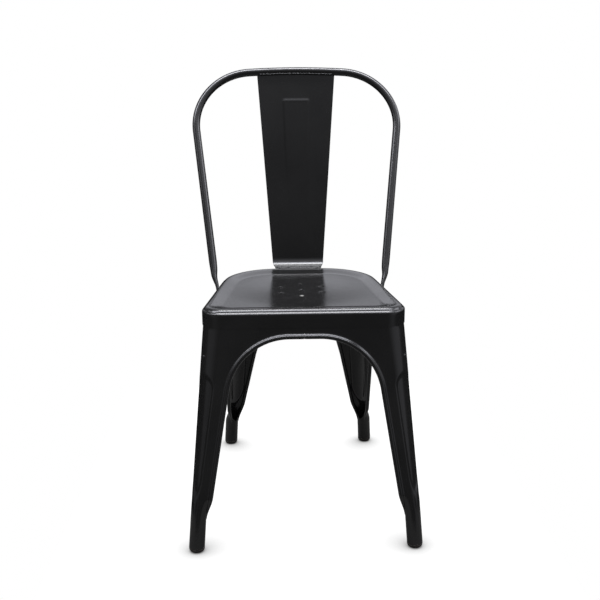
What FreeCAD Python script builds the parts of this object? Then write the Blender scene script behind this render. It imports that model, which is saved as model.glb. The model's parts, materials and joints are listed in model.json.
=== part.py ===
import FreeCAD, Part
import math
import os
from FreeCAD import Vector

# Metal bistro chair: pressed steel seat on four pressed corner legs, with a bent tube back.
# Millimetres. X runs to the right seen from the front, Y to the back, Z up.
# The origin is on the floor, under the middle of the chair's box. Left and right are as seen
# from the front.

# Overall sizes
TOTAL_HEIGHT = 860.0
SEAT_HEIGHT = 444.0
SHEET = 1.2

# Seat pan, in plan: a rounded trapezium that narrows to the back
SEAT_FRONT_Y = -198.0
SEAT_REAR_Y = 153.0
SEAT_SIDE_X = 164.5
SEAT_TAPER = 0.125
SEAT_FRONT_RADIUS = 40.0
SEAT_REAR_RADIUS = 112.0
SKIRT_DEPTH = 34.0
SEAT_EDGE_RADIUS = 9.0
DISH_INSET = 17.0
DISH_DEPTH = 4.0
DISH_SLOPE = 1.5
DISH_HOLLOW = 5.0
DISH_HOLLOW_RADIUS = 130.0
SEAT_MIDDLE_Y = -24.0
DRAIN_HOLE_RADIUS = 4.2
DRAIN_RING_RADIUS = 46.0
DRAIN_RING_COUNT = 6

# Legs
FOOT_Y = 241.5
FRONT_FOOT_X = 201.0
REAR_FOOT_X = 158.0
FOOT_RADIUS = 14.5
FOOT_JOIN_Z = 60.0
LEG_TOP_Z = 434.0
SIDE_SEAM_Y = -25.0
BEAD_RADIUS = 4.2
BEAD_KNEE_RADIUS = 4.5
BEAD_END_RADIUS = 1.4
SEAM_LAP = 2.0
FLUTE_RADIUS = 24.0
FLUTE_DEPTH = 4.2
FLUTE_TOP_Z = 312.0
FLUTE_FOOT_Z = 128.0

# Arches, each as half of one side: height of the crown, half width of its level part, radius of
# the shoulder, and lean of the leg's inner edge in degrees
CROWN_Z = 390.0
FRONT_ARCH = {"level": 27.5, "radius": 110.0, "lean": 9.4}
REAR_ARCH = {"level": 2.0, "radius": 72.0, "lean": 12.0}
SIDE_FRONT_ARCH = {"level": 22.0, "radius": 108.0, "lean": 13.0}
SIDE_REAR_ARCH = {"level": 22.0, "radius": 106.0, "lean": 21.5}
ARCH_END_Z = 105.0

# Rubber feet; the foot centres above are measured at the top of the rubber
FOOT_CAP_HEIGHT = 9.0
FOOT_CAP_ROUND = 5.5
FOOT_PLUG_HEIGHT = 16.0
FOOT_PLUG_GAP = 0.3

# Back hoop: a bent tube in one leaning plane
HOOP_RADIUS = 8.0
HOOP_WALL = 1.5
HOOP_FOOT_Y = 20.0
HOOP_FOOT_Z = 425.0
HOOP_TOP_Y = 240.0
HOOP_BOW_RADIUS = 1600.0
HOOP_BOW_HALF = 100.0
HOOP_CORNER_RADIUS = 118.0
HOOP_SIDE_ANGLE = math.radians(6.9)
HOOP_ROUND_END = 62.0
HOOP_TIP = -9.0
HOOP_FLAT_HALF = 2.6
HOOP_FLAT_WIDE = 11.2

# Back splat: a tapered sheet with a pressed panel
SPLAT_SHEET = 1.5
SPLAT_TOP_HALF = 83.0
SPLAT_FOOT_HALF = 53.5
SPLAT_FOOT_ROUND = 12.0
SPLAT_BEND_RADIUS = 22.0
SPLAT_FLANGE = 4.0
PANEL_TOP_Z = 795.0
PANEL_FOOT_Z = 560.0
PANEL_TOP_HALF = 29.0
PANEL_FOOT_HALF = 21.0
PANEL_DEPTH = 1.2
PANEL_CORNER = 5.0

# Brace under the seat: two crossed straps with rubber bumpers
BRACE_Z = 352.0
STRAP_WIDTH = 22.0
STRAP_THICKNESS = 3.0
RIVET_RADIUS = 4.0
RIVET_HEAD_RADIUS = 7.0
RIVET_HEAD_HEIGHT = 3.0
BUMPER_RADIUS = 9.0
BUMPER_HEIGHT = 6.0
BUMPER_STEM_RADIUS = 3.0
BUMPER_DISTANCE = 120.0

# Welds
WELD_RADIUS = 2.0

SIDE_SCALE = math.hypot(1.0, SEAT_TAPER)
SKIRT_Z = SEAT_HEIGHT - SKIRT_DEPTH
UP = Vector(0.0, 0.0, 1.0)


def line(start, end):
    """Straight edge between two points."""
    return Part.LineSegment(start, end).toShape()


def arc(centre, radius, start_angle, end_angle, x_dir, y_dir):
    """Arc edge in the plane of two unit vectors, angles in radians."""
    def point(angle):
        return centre + x_dir * (radius * math.cos(angle)) + y_dir * (radius * math.sin(angle))
    middle = (start_angle + end_angle) / 2.0
    return Part.Arc(point(start_angle), point(middle), point(end_angle)).toShape()


def mirrored(shape):
    """The same piece on the other side of the chair."""
    return shape.mirror(Vector(0.0, 0.0, 0.0), Vector(1.0, 0.0, 0.0))


def cylinder_between(start, end, radius):
    """Solid rod from one point to another."""
    axis = end - start
    return Part.makeCylinder(radius, axis.Length, start, axis)


# Seat pan


def corner_centre(face_y, side_x, radius):
    """Centre of the corner round between a face line and the tapering side line."""
    inward = 1.0 if face_y < 0 else -1.0
    centre_y = face_y + inward * radius
    centre_x = side_x - SEAT_TAPER * centre_y - radius * SIDE_SCALE
    return centre_x, centre_y


def side_normal():
    """Unit vector square to the right-hand side line, pointing outward."""
    return Vector(1.0, SEAT_TAPER, 0.0) / SIDE_SCALE


def seat_outline(inset, z):
    """Closed wire of the seat's plan outline, moved inward by inset."""
    front_y = SEAT_FRONT_Y + inset
    rear_y = SEAT_REAR_Y - inset
    side_x = SEAT_SIDE_X - inset * SIDE_SCALE
    front_radius = SEAT_FRONT_RADIUS - inset
    rear_radius = SEAT_REAR_RADIUS - inset
    fx, fy = corner_centre(front_y, side_x, front_radius)
    rx, ry = corner_centre(rear_y, side_x, rear_radius)
    x_dir = Vector(1.0, 0.0, 0.0)
    y_dir = Vector(0.0, 1.0, 0.0)
    tilt = math.atan(SEAT_TAPER)
    front_right = arc(Vector(fx, fy, z), front_radius, -math.pi / 2.0, tilt, x_dir, y_dir)
    rear_right = arc(Vector(rx, ry, z), rear_radius, tilt, math.pi / 2.0, x_dir, y_dir)
    front_left = arc(Vector(-fx, fy, z), front_radius, -math.pi / 2.0, tilt, -x_dir, y_dir)
    rear_left = arc(Vector(-rx, ry, z), rear_radius, tilt, math.pi / 2.0, -x_dir, y_dir)
    edges = [
        line(Vector(-fx, front_y, z), Vector(fx, front_y, z)),
        front_right,
        line(front_right.lastVertex().Point, rear_right.firstVertex().Point),
        rear_right,
        line(Vector(rx, rear_y, z), Vector(-rx, rear_y, z)),
        rear_left,
        line(rear_left.firstVertex().Point, front_left.lastVertex().Point),
        front_left,
    ]
    return Part.Wire(Part.__sortEdges__(edges))


def rounded_block(inset, bottom_z, top_z, edge_radius):
    """Block of the seat's outline with its top edge rounded."""
    face = Part.Face(seat_outline(inset, bottom_z))
    block = face.extrude(UP * (top_z - bottom_z))
    top_edges = [e for e in block.Edges if e.BoundBox.ZMin > top_z - 0.01]
    return block.makeFillet(edge_radius, top_edges)


def dish_tool(drop):
    """Tapered block that presses the dish, lowered by drop."""
    floor_z = SEAT_HEIGHT - DISH_DEPTH
    above = 4.0
    floor_inset = DISH_INSET + DISH_DEPTH * DISH_SLOPE
    top_inset = DISH_INSET - above * DISH_SLOPE
    low = seat_outline(floor_inset, floor_z - drop)
    high = seat_outline(top_inset, SEAT_HEIGHT + above - drop)
    return Part.makeLoft([low, high], True, True)


def hollow_tool(drop):
    """Large ball that hollows the middle of the dish, grown by drop."""
    ball = (DISH_HOLLOW_RADIUS ** 2 + DISH_HOLLOW ** 2) / (2.0 * DISH_HOLLOW)
    centre_z = SEAT_HEIGHT - DISH_DEPTH - DISH_HOLLOW + ball
    whole = Part.makeSphere(ball + drop, Vector(0.0, SEAT_MIDDLE_Y, centre_z))
    keep = 2.0 * DISH_HOLLOW_RADIUS
    corner = Vector(-keep / 2.0, SEAT_MIDDLE_Y - keep / 2.0, SEAT_HEIGHT - 3.0 * DISH_HOLLOW)
    return whole.common(Part.makeBox(keep, keep, 4.0 * DISH_HOLLOW, corner))


def drain_holes():
    """Pins that pierce the middle of the dish: one hole in a ring of others."""
    depth = 30.0
    centre = Vector(0.0, SEAT_MIDDLE_Y, SEAT_HEIGHT - depth)
    pins = [Part.makeCylinder(DRAIN_HOLE_RADIUS, 2.0 * depth, centre)]
    for index in range(DRAIN_RING_COUNT):
        angle = 2.0 * math.pi * (index + 0.5) / DRAIN_RING_COUNT
        offset = Vector(math.cos(angle), math.sin(angle), 0.0) * DRAIN_RING_RADIUS
        pins.append(Part.makeCylinder(DRAIN_HOLE_RADIUS, 2.0 * depth, centre + offset))
    return Part.makeCompound(pins)


def seat_pan():
    """Pressed pan: rounded rim, dished top and a skirt all round."""
    below = 5.0
    outer = rounded_block(0.0, SKIRT_Z, SEAT_HEIGHT, SEAT_EDGE_RADIUS)
    outer = outer.cut(dish_tool(0.0)).cut(hollow_tool(0.0))
    inner = rounded_block(SHEET, SKIRT_Z - below, SEAT_HEIGHT - SHEET, SEAT_EDGE_RADIUS - SHEET)
    inner = inner.cut(dish_tool(SHEET)).cut(hollow_tool(SHEET))
    return outer.cut(inner).cut(drain_holes())


# Legs


class Leg:
    """Shape of one corner leg, on the chair's right-hand side.

    face_y(z) is the level of the leg's front or rear face, side_x(z) is where its side face
    would cross Y = 0, and radius(z) is the round between them.
    """

    def __init__(self, foot_x, back, seat_radius, face_arch, side_arch):
        self.sign = 1.0 if back else -1.0
        seat_y = SEAT_REAR_Y if back else SEAT_FRONT_Y
        self.top_face_y = seat_y - self.sign * SHEET
        self.foot_face_y = self.sign * (FOOT_Y + FOOT_RADIUS)
        self.top_side_x = SEAT_SIDE_X - SHEET * SIDE_SCALE
        self.foot_side_x = foot_x + SEAT_TAPER * self.sign * FOOT_Y + FOOT_RADIUS * SIDE_SCALE
        self.top_radius = seat_radius - SHEET
        self.face_arch = face_arch
        self.side_arch = side_arch

    def share(self, z):
        return min((z - FOOT_CAP_HEIGHT) / (SKIRT_Z - FOOT_CAP_HEIGHT), 1.0)

    def face_y(self, z):
        return self.foot_face_y + (self.top_face_y - self.foot_face_y) * self.share(z)

    def side_x(self, z):
        return self.foot_side_x + (self.top_side_x - self.foot_side_x) * self.share(z)

    def radius(self, z):
        rise = min(max((z - FOOT_JOIN_Z) / (SKIRT_Z - FOOT_JOIN_Z), 0.0), 1.0)
        return FOOT_RADIUS + (self.top_radius - FOOT_RADIUS) * rise

    def centre(self, z):
        x, y = corner_centre(self.face_y(z), self.side_x(z), self.radius(z))
        return Vector(x, y, z)

    def diagonal(self):
        """Unit vector from the leg's middle to the outside of its corner."""
        return (side_normal() + Vector(0.0, self.sign, 0.0)).normalize()

    def rounds(self, z, inset):
        """Ends and middle of the corner round at one level, moved inward."""
        centre = self.centre(z)
        radius = self.radius(z) - inset
        face_end = centre + Vector(0.0, self.sign, 0.0) * radius
        middle = centre + self.diagonal() * radius
        side_end = centre + side_normal() * radius
        return face_end, middle, side_end

    def seam_points(self, z, inset):
        """Where the leg's faces end, at the middle of each side of the chair."""
        face = Vector(0.0, self.face_y(z) - self.sign * inset, z)
        side_x = self.side_x(z) - inset * SIDE_SCALE - SEAT_TAPER * SIDE_SEAM_Y
        return face, Vector(side_x, SIDE_SEAM_Y, z)

    def section(self, z, outer_inset, inner_inset):
        """Closed wire of the L-shaped sheet at one level."""
        face_out, side_out = self.seam_points(z, outer_inset)
        face_in, side_in = self.seam_points(z, inner_inset)
        a_out, m_out, b_out = self.rounds(z, outer_inset)
        a_in, m_in, b_in = self.rounds(z, inner_inset)
        edges = [
            line(face_out, a_out),
            Part.Arc(a_out, m_out, b_out).toShape(),
            line(b_out, side_out),
            line(side_out, side_in),
            line(side_in, b_in),
            Part.Arc(b_in, m_in, a_in).toShape(),
            line(a_in, face_in),
            line(face_in, face_out),
        ]
        return Part.Wire(edges)

    def face_frame(self):
        """Front or rear face: origin at its seam on the floor, then across, up and outward."""
        origin = Vector(0.0, self.face_y(0.0), 0.0)
        across = Vector(1.0, 0.0, 0.0)
        rise = Vector(0.0, self.face_y(SKIRT_Z) - self.face_y(0.0), SKIRT_Z).normalize()
        outward = across.cross(rise) * -self.sign
        return origin, across, rise, outward

    def side_frame(self):
        """The same for the side face: across runs from the seam towards the corner."""
        across = Vector(-SEAT_TAPER, 1.0, 0.0) * (self.sign / SIDE_SCALE)
        slope = Vector(self.side_x(SKIRT_Z) - self.side_x(0.0), 0.0, SKIRT_Z)
        rise = (slope - across * slope.dot(across)).normalize()
        outward = across.cross(rise) * self.sign
        crown = self.seam_points(CROWN_Z, 0.0)[1]
        return crown - rise * (CROWN_Z / rise.z), across, rise, outward

    def foot_sides(self, inset):
        """Points of the round foot's top that the two hems run down to."""
        centre = self.centre(FOOT_JOIN_Z)
        radius = FOOT_RADIUS - inset
        across = self.side_frame()[1]
        return centre - Vector(radius, 0.0, 0.0), centre - across * radius

    def hem_ends(self, inset):
        """Where the two hems reach the lower end of the L-shaped sheet."""
        ends = []
        for frame, arch in ((self.face_frame(), self.face_arch),
                            (self.side_frame(), self.side_arch)):
            place = placer(frame, 0.0)
            ends.append(place(arch_points(frame, arch)[4]))
        face_end = ends[0] - Vector(0.0, self.sign, 0.0) * inset
        side_end = ends[1] - side_normal() * inset
        return face_end, side_end


def arch_points(frame, arch):
    """Shoulder and tangent points of an arch whose edge is the middle of its bead."""
    rise = frame[2]
    radius = arch["radius"] + BEAD_RADIUS
    lean = math.radians(arch["lean"])
    crown = CROWN_Z / rise.z + BEAD_RADIUS
    shoulder = (arch["level"], crown - radius)
    tangent = (shoulder[0] + radius * math.cos(lean), shoulder[1] + radius * math.sin(lean))
    low = ARCH_END_Z / rise.z
    end = (tangent[0] + (tangent[1] - low) * math.tan(lean), low)
    return radius, lean, shoulder, tangent, end


def placer(frame, depth):
    """Function that turns across and up along a face into a point, depth under the face."""
    origin, across, rise, outward = frame

    def place(point):
        return origin + across * point[0] + rise * point[1] - outward * depth
    return place


def arch_path(frame, arch, depth):
    """Edges along an arch, from the seam to the end of the leg's straight edge."""
    place = placer(frame, depth)
    radius, lean, shoulder, tangent, end = arch_points(frame, arch)
    crown = (shoulder[0], shoulder[1] + radius)
    return [
        line(place((0.0, crown[1])), place(crown)),
        arc(place(shoulder), radius, math.pi / 2.0, lean, frame[1], frame[2]),
        line(place(tangent), place(end)),
    ]


def arch_cutter(frame, arch):
    """Block that opens one arch through one face."""
    reach = 24.0
    beyond = 20.0
    place = placer(frame, -reach)
    radius, lean, shoulder, tangent, end = arch_points(frame, arch)
    crown = shoulder[1] + radius
    low = (end[0] + beyond * math.tan(lean), end[1] - beyond)
    edges = arch_path(frame, arch, -reach)
    corners = [place(p) for p in (end, low, (-beyond, low[1]), (-beyond, crown), (0.0, crown))]
    for start, stop in zip(corners, corners[1:]):
        edges.append(line(start, stop))
    face = Part.Face(Part.Wire(Part.__sortEdges__(edges)))
    return face.extrude(frame[3] * (-2.0 * reach))


def arch_bead(frame, arch, hem_end):
    """Rolled hem along the arch and down to hem_end, where it runs out on the round foot."""
    place = placer(frame, SHEET / 2.0)
    radius, lean, shoulder, tangent, end = arch_points(frame, arch)
    crown = shoulder[1] + radius
    bend_start = place((shoulder[0], crown))
    level = cylinder_between(place((-SEAM_LAP, crown)), bend_start, BEAD_RADIUS)
    ring = Part.Face(Part.Wire(Part.makeCircle(BEAD_RADIUS, bend_start, frame[1])))
    bend_axis = frame[2].cross(frame[1])
    bend = ring.revolve(place(shoulder), bend_axis, 90.0 - arch["lean"])
    turn = place(end)
    straight = cylinder_between(place(tangent), turn, BEAD_RADIUS)
    axis = hem_end - turn
    tail = Part.makeCone(BEAD_RADIUS, BEAD_END_RADIUS, axis.Length, turn, axis)
    knee = Part.makeSphere(BEAD_KNEE_RADIUS, turn)
    return level.fuse([bend, straight, knee, tail])


def own_quarter(leg):
    """Block of space that holds one leg, up to its seams with the neighbouring legs."""
    size = TOTAL_HEIGHT
    low_y = SIDE_SEAM_Y if leg.sign > 0 else SIDE_SEAM_Y - size
    return Part.makeBox(size, size, size, Vector(0.0, low_y, 0.0))


def flute_tool(leg, extra):
    """Round-ended rod that presses a flute into the leg's corner."""
    def axis_point(z):
        out = leg.radius(z) + FLUTE_RADIUS - FLUTE_DEPTH
        return leg.centre(z) + leg.diagonal() * out
    top = axis_point(FLUTE_TOP_Z)
    foot = axis_point(FLUTE_FOOT_Z)
    radius = FLUTE_RADIUS + extra
    rod = cylinder_between(foot, top, radius)
    return rod.fuse([Part.makeSphere(radius, top), Part.makeSphere(radius, foot)])


def foot_tube(leg):
    """Round lower end of the leg, from the rubber foot up to the formed sheet."""
    def disc(z, radius):
        return Part.Wire(Part.makeCircle(radius, leg.centre(z), UP))
    outer = [disc(FOOT_CAP_HEIGHT, FOOT_RADIUS), disc(FOOT_JOIN_Z, FOOT_RADIUS)]
    bore = FOOT_RADIUS - SHEET
    inner = [disc(FOOT_CAP_HEIGHT, bore), disc(FOOT_JOIN_Z, bore)]
    return Part.makeLoft(outer, True, True).cut(Part.makeLoft(inner, True, True))


def ankle(leg):
    """Sheet that passes from the leg's L shape at its top to the round foot at its bottom."""
    def quarter(start_dir, end_dir, radius):
        centre = leg.centre(FOOT_JOIN_Z)
        middle = (start_dir + end_dir).normalize()
        points = [centre + d * radius for d in (start_dir, middle, end_dir)]
        return Part.Arc(*points).toShape()
    face_dir = Vector(0.0, leg.sign, 0.0)
    side_dir = side_normal()
    across = leg.side_frame()[1]
    bore = FOOT_RADIUS - SHEET
    face_out, side_out = leg.foot_sides(0.0)
    face_in, side_in = leg.foot_sides(SHEET)
    low = Part.Wire([
        quarter(Vector(-1.0, 0.0, 0.0), face_dir, FOOT_RADIUS),
        quarter(face_dir, side_dir, FOOT_RADIUS),
        quarter(side_dir, across * -1.0, FOOT_RADIUS),
        line(side_out, side_in),
        quarter(across * -1.0, side_dir, bore),
        quarter(side_dir, face_dir, bore),
        quarter(face_dir, Vector(-1.0, 0.0, 0.0), bore),
        line(face_in, face_out),
    ])
    face_out, side_out = leg.hem_ends(0.0)
    face_in, side_in = leg.hem_ends(SHEET)
    a_out, m_out, b_out = leg.rounds(ARCH_END_Z, 0.0)
    a_in, m_in, b_in = leg.rounds(ARCH_END_Z, SHEET)
    high = Part.Wire([
        line(face_out, a_out),
        Part.Arc(a_out, m_out, b_out).toShape(),
        line(b_out, side_out),
        line(side_out, side_in),
        line(side_in, b_in),
        Part.Arc(b_in, m_in, a_in).toShape(),
        line(a_in, face_in),
        line(face_in, face_out),
    ])
    return Part.makeLoft([low, high], True, True)


def corner_fill(leg):
    """Everything behind the leg's outer surface near its corner."""
    deep = 40.0

    def filled(z):
        a_out, m_out, b_out = leg.rounds(z, 0.0)
        inner = leg.centre(z) - leg.diagonal() * deep
        edges = [Part.Arc(a_out, m_out, b_out).toShape(), line(b_out, inner), line(inner, a_out)]
        return Part.Wire(edges)
    return Part.makeLoft([filled(ARCH_END_Z), filled(SKIRT_Z)], True, True)


def leg_pressing(leg):
    """One leg: L-shaped sheet with half an arch each side, rolled hems and a round end."""
    low = leg.section(ARCH_END_Z, 0.0, SHEET)
    high = leg.section(SKIRT_Z, 0.0, SHEET)
    sheet = Part.makeLoft([low, high], True, True)
    sheet = sheet.fuse(Part.Face(high).extrude(UP * (LEG_TOP_Z - SKIRT_Z)))
    pocket = flute_tool(leg, 0.0)
    pressed = flute_tool(leg, SHEET).cut(pocket).common(corner_fill(leg))
    sheet = sheet.cut(pocket).fuse(pressed)
    sides = ((leg.face_frame(), leg.face_arch), (leg.side_frame(), leg.side_arch))
    for frame, arch in sides:
        sheet = sheet.cut(arch_cutter(frame, arch))
    sheet = sheet.fuse([ankle(leg), foot_tube(leg)])
    hem_ends = leg.foot_sides(SHEET / 2.0)
    for (frame, arch), hem_end in zip(sides, hem_ends):
        sheet = sheet.fuse(arch_bead(frame, arch, hem_end))
    return sheet.common(own_quarter(leg)).removeSplitter()


# Rubber feet


def rubber_foot(leg):
    """Cap with a rounded bottom, and a plug that fills the end of the leg."""
    seat = leg.centre(FOOT_CAP_HEIGHT)
    base = Vector(seat.x, seat.y, 0.0)
    cap = Part.makeCylinder(FOOT_RADIUS, FOOT_CAP_HEIGHT, base)
    low_edges = [e for e in cap.Edges if e.BoundBox.ZMax < 0.01]
    cap = cap.makeFillet(FOOT_CAP_ROUND, low_edges)
    plug_radius = FOOT_RADIUS - SHEET - FOOT_PLUG_GAP
    top = leg.centre(FOOT_CAP_HEIGHT + FOOT_PLUG_HEIGHT)
    low_ring = Part.Wire(Part.makeCircle(plug_radius, seat, UP))
    high_ring = Part.Wire(Part.makeCircle(plug_radius, top, UP))
    return cap.fuse(Part.makeLoft([low_ring, high_ring], True, True))


# Back hoop


HOOP_RUN = TOTAL_HEIGHT - HOOP_RADIUS - HOOP_FOOT_Z
HOOP_UP = Vector(0.0, HOOP_TOP_Y - HOOP_FOOT_Y, HOOP_RUN).normalize()
HOOP_OUT = Vector(0.0, HOOP_UP.z, -HOOP_UP.y)
HOOP_TOP = HOOP_RUN / HOOP_UP.z
HOOP_BOW_ANGLE = math.asin(HOOP_BOW_HALF / HOOP_BOW_RADIUS)


def hoop_point(x, up):
    """Point in the hoop's leaning plane, up being measured along it from the seat's side."""
    return Vector(x, HOOP_FOOT_Y, HOOP_FOOT_Z) + HOOP_UP * up


def hoop_corner():
    """Centre of the hoop's upper corner, then the point where its straight side starts."""
    reach = HOOP_BOW_RADIUS - HOOP_CORNER_RADIUS
    corner_x = reach * math.sin(HOOP_BOW_ANGLE)
    corner_up = HOOP_TOP - HOOP_BOW_RADIUS + reach * math.cos(HOOP_BOW_ANGLE)
    end_x = corner_x + HOOP_CORNER_RADIUS * math.cos(HOOP_SIDE_ANGLE)
    end_up = corner_up - HOOP_CORNER_RADIUS * math.sin(HOOP_SIDE_ANGLE)
    return corner_x, corner_up, end_x, end_up


def hoop_side(up):
    """Distance from the middle to the tube's axis along the straight part of the side."""
    corner_x, corner_up, end_x, end_up = hoop_corner()
    return end_x - (end_up - up) * math.tan(HOOP_SIDE_ANGLE)


def hoop_path():
    """Axis of the round tube, from one side over the top to the other."""
    x_dir = Vector(1.0, 0.0, 0.0)
    bow_angle = HOOP_BOW_ANGLE
    corner_x, corner_up, end_x, end_up = hoop_corner()
    low_x = hoop_side(HOOP_ROUND_END)
    right_angle = math.pi / 2.0
    bow_centre = hoop_point(0.0, HOOP_TOP - HOOP_BOW_RADIUS)
    edges = [
        line(hoop_point(low_x, HOOP_ROUND_END), hoop_point(end_x, end_up)),
        arc(hoop_point(corner_x, corner_up), HOOP_CORNER_RADIUS, -HOOP_SIDE_ANGLE,
            right_angle - bow_angle, x_dir, HOOP_UP),
        arc(bow_centre, HOOP_BOW_RADIUS, right_angle - bow_angle, right_angle + bow_angle,
            x_dir, HOOP_UP),
        arc(hoop_point(-corner_x, corner_up), HOOP_CORNER_RADIUS, right_angle - bow_angle,
            -HOOP_SIDE_ANGLE, -x_dir, HOOP_UP),
        line(hoop_point(-end_x, end_up), hoop_point(-low_x, HOOP_ROUND_END)),
    ]
    return Part.Wire(edges)


def hoop_rod(radius):
    """Solid rod along the hoop's axis."""
    path = hoop_path()
    start = hoop_point(hoop_side(HOOP_ROUND_END), HOOP_ROUND_END)
    direction = path.Edges[0].tangentAt(path.Edges[0].FirstParameter)
    ring = Part.Wire(Part.makeCircle(radius, start, direction))
    return path.makePipeShell([ring], True, False)


def skirt_x(y):
    """Outer face of the skirt's straight side."""
    return SEAT_SIDE_X - SEAT_TAPER * y


def hoop_end():
    """Right-hand end of the tube, pressed flat and laid against the skirt.

    Each station is a distance along the hoop, half the thickness, half the width, and the gap
    to the skirt, which is left out where the end still follows the straight side.
    """
    stations = [
        (HOOP_ROUND_END + 4.0, HOOP_RADIUS + 0.25, HOOP_RADIUS + 0.3, None),
        (HOOP_ROUND_END - 4.0, HOOP_RADIUS + 0.15, HOOP_RADIUS + 0.35, None),
        (38.0, 6.9, 9.0, None),
        (20.0, 4.0, 10.5, 4.0),
        (4.0, HOOP_FLAT_HALF, HOOP_FLAT_WIDE, 0.4),
        (HOOP_TIP, HOOP_FLAT_HALF, HOOP_FLAT_WIDE, 0.0),
    ]
    rings = []
    for up, thin, broad, clear in stations:
        centre = hoop_point(0.0, up)
        if clear is None:
            centre.x = hoop_side(up)
        else:
            centre.x = skirt_x(centre.y) + thin * SIDE_SCALE + clear
        major = centre + HOOP_OUT * broad
        minor = centre + Vector(thin, 0.0, 0.0)
        ellipse = Part.Ellipse(major, minor, centre)
        rings.append(Part.Wire(ellipse.toShape()))
    return Part.makeLoft(rings, True, False)


def back_hoop():
    """Bent tube with two flattened ends."""
    seat_block = Part.Face(seat_outline(0.0, SKIRT_Z)).extrude(UP * SKIRT_DEPTH)
    end = hoop_end().cut(seat_block)
    tube = hoop_rod(HOOP_RADIUS).cut(hoop_rod(HOOP_RADIUS - HOOP_WALL))
    return tube.fuse([end, mirrored(end)])


# Back splat


SPLAT_BEND_Y = SEAT_REAR_Y - SEAT_EDGE_RADIUS - SPLAT_FLANGE + 2.0
SPLAT_TOP_Z = TOTAL_HEIGHT - HOOP_RADIUS


def splat_lean():
    """Lean of the splat from upright, in radians, so that it meets the tube's axis."""
    lean = 0.2
    for _ in range(20):
        start_y = SPLAT_BEND_Y + SPLAT_BEND_RADIUS * math.cos(lean)
        start_z = SEAT_HEIGHT + SPLAT_BEND_RADIUS * (1.0 - math.sin(lean))
        lean = math.atan2(HOOP_TOP_Y - start_y, SPLAT_TOP_Z - start_z)
    return lean


def splat_profile():
    """Side view of the splat: a flange on the rim, a bend, and the leaning sheet."""
    lean = splat_lean()
    centre = Vector(0.0, SPLAT_BEND_Y, SEAT_HEIGHT + SPLAT_BEND_RADIUS)
    y_dir = Vector(0.0, 1.0, 0.0)
    outer = SPLAT_BEND_RADIUS
    inner = SPLAT_BEND_RADIUS - SPLAT_SHEET
    up = Vector(0.0, math.sin(lean), math.cos(lean))
    front = Vector(0.0, -math.cos(lean), math.sin(lean))
    flange_y = SPLAT_BEND_Y - SPLAT_FLANGE
    outer_arc = arc(centre, outer, -math.pi / 2.0, -lean, y_dir, UP)
    inner_arc = arc(centre, inner, -math.pi / 2.0, -lean, y_dir, UP)
    back_start = outer_arc.lastVertex().Point
    run = (SPLAT_TOP_Z - back_start.z) / up.z
    back_end = back_start + up * run
    edges = [
        line(Vector(0.0, flange_y, SEAT_HEIGHT), Vector(0.0, SPLAT_BEND_Y, SEAT_HEIGHT)),
        outer_arc,
        line(back_start, back_end),
        line(back_end, back_end + front * SPLAT_SHEET),
        line(back_end + front * SPLAT_SHEET, inner_arc.lastVertex().Point),
        inner_arc,
        line(inner_arc.firstVertex().Point, Vector(0.0, flange_y, SEAT_HEIGHT + SPLAT_SHEET)),
        line(Vector(0.0, flange_y, SEAT_HEIGHT + SPLAT_SHEET), Vector(0.0, flange_y, SEAT_HEIGHT)),
    ]
    return Part.Wire(Part.__sortEdges__(edges)), back_start, up, front


def front_view_block(points, corner_radius, rounded):
    """Block through the chair from back to front, from an outline in X and Z."""
    start_y = 60.0
    length = 240.0
    wire = Part.makePolygon([Vector(x, start_y, z) for x, z in points + points[:1]])
    block = Part.Face(wire).extrude(Vector(0.0, length, 0.0))
    if not rounded:
        return block
    edges = []
    for edge in block.Edges:
        along_y = edge.BoundBox.YLength > length / 2.0
        centre = edge.BoundBox.Center
        near = [p for p in rounded if abs(p[0] - centre.x) < 0.1 and abs(p[1] - centre.z) < 0.1]
        if along_y and near:
            edges.append(edge)
    return block.makeFillet(corner_radius, edges)


def splat_outline():
    """Front view of the splat: it widens upward, with rounded lower corners."""
    top = SPLAT_TOP_Z + 1.0
    foot = SEAT_HEIGHT - 1.0
    corners = [(-SPLAT_FOOT_HALF, foot), (SPLAT_FOOT_HALF, foot)]
    points = corners + [(SPLAT_TOP_HALF, top), (-SPLAT_TOP_HALF, top)]
    return front_view_block(points, SPLAT_FOOT_ROUND, corners)


def panel_wedge(frame, rear, top, foot, margin):
    """Wedge for the pressed panel, thickest at its top and running out at its foot.

    rear is how far its rear face lies in front of the sheet's back; top and foot are how far
    its front face does, at the panel's top and foot.
    """
    back_start, up, front = frame
    top_z = PANEL_TOP_Z + margin

    def place(z, forward):
        return back_start + up * ((z - back_start.z) / up.z) + front * forward
    side = [
        place(PANEL_FOOT_Z, foot),
        place(top_z, top),
        place(top_z, rear),
        place(PANEL_FOOT_Z, rear),
    ]
    half = 2.0 * PANEL_TOP_HALF
    outline = [Vector(-half, p.y, p.z) for p in side]
    wedge = Part.Face(Part.makePolygon(outline + outline[:1]))
    wedge = wedge.extrude(Vector(2.0 * half, 0.0, 0.0))
    corners = [(PANEL_TOP_HALF + margin, top_z), (-PANEL_TOP_HALF - margin, top_z)]
    foot_half = PANEL_FOOT_HALF + margin
    points = corners + [(-foot_half, PANEL_FOOT_Z), (foot_half, PANEL_FOOT_Z)]
    return wedge.common(front_view_block(points, PANEL_CORNER + margin, corners))


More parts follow.
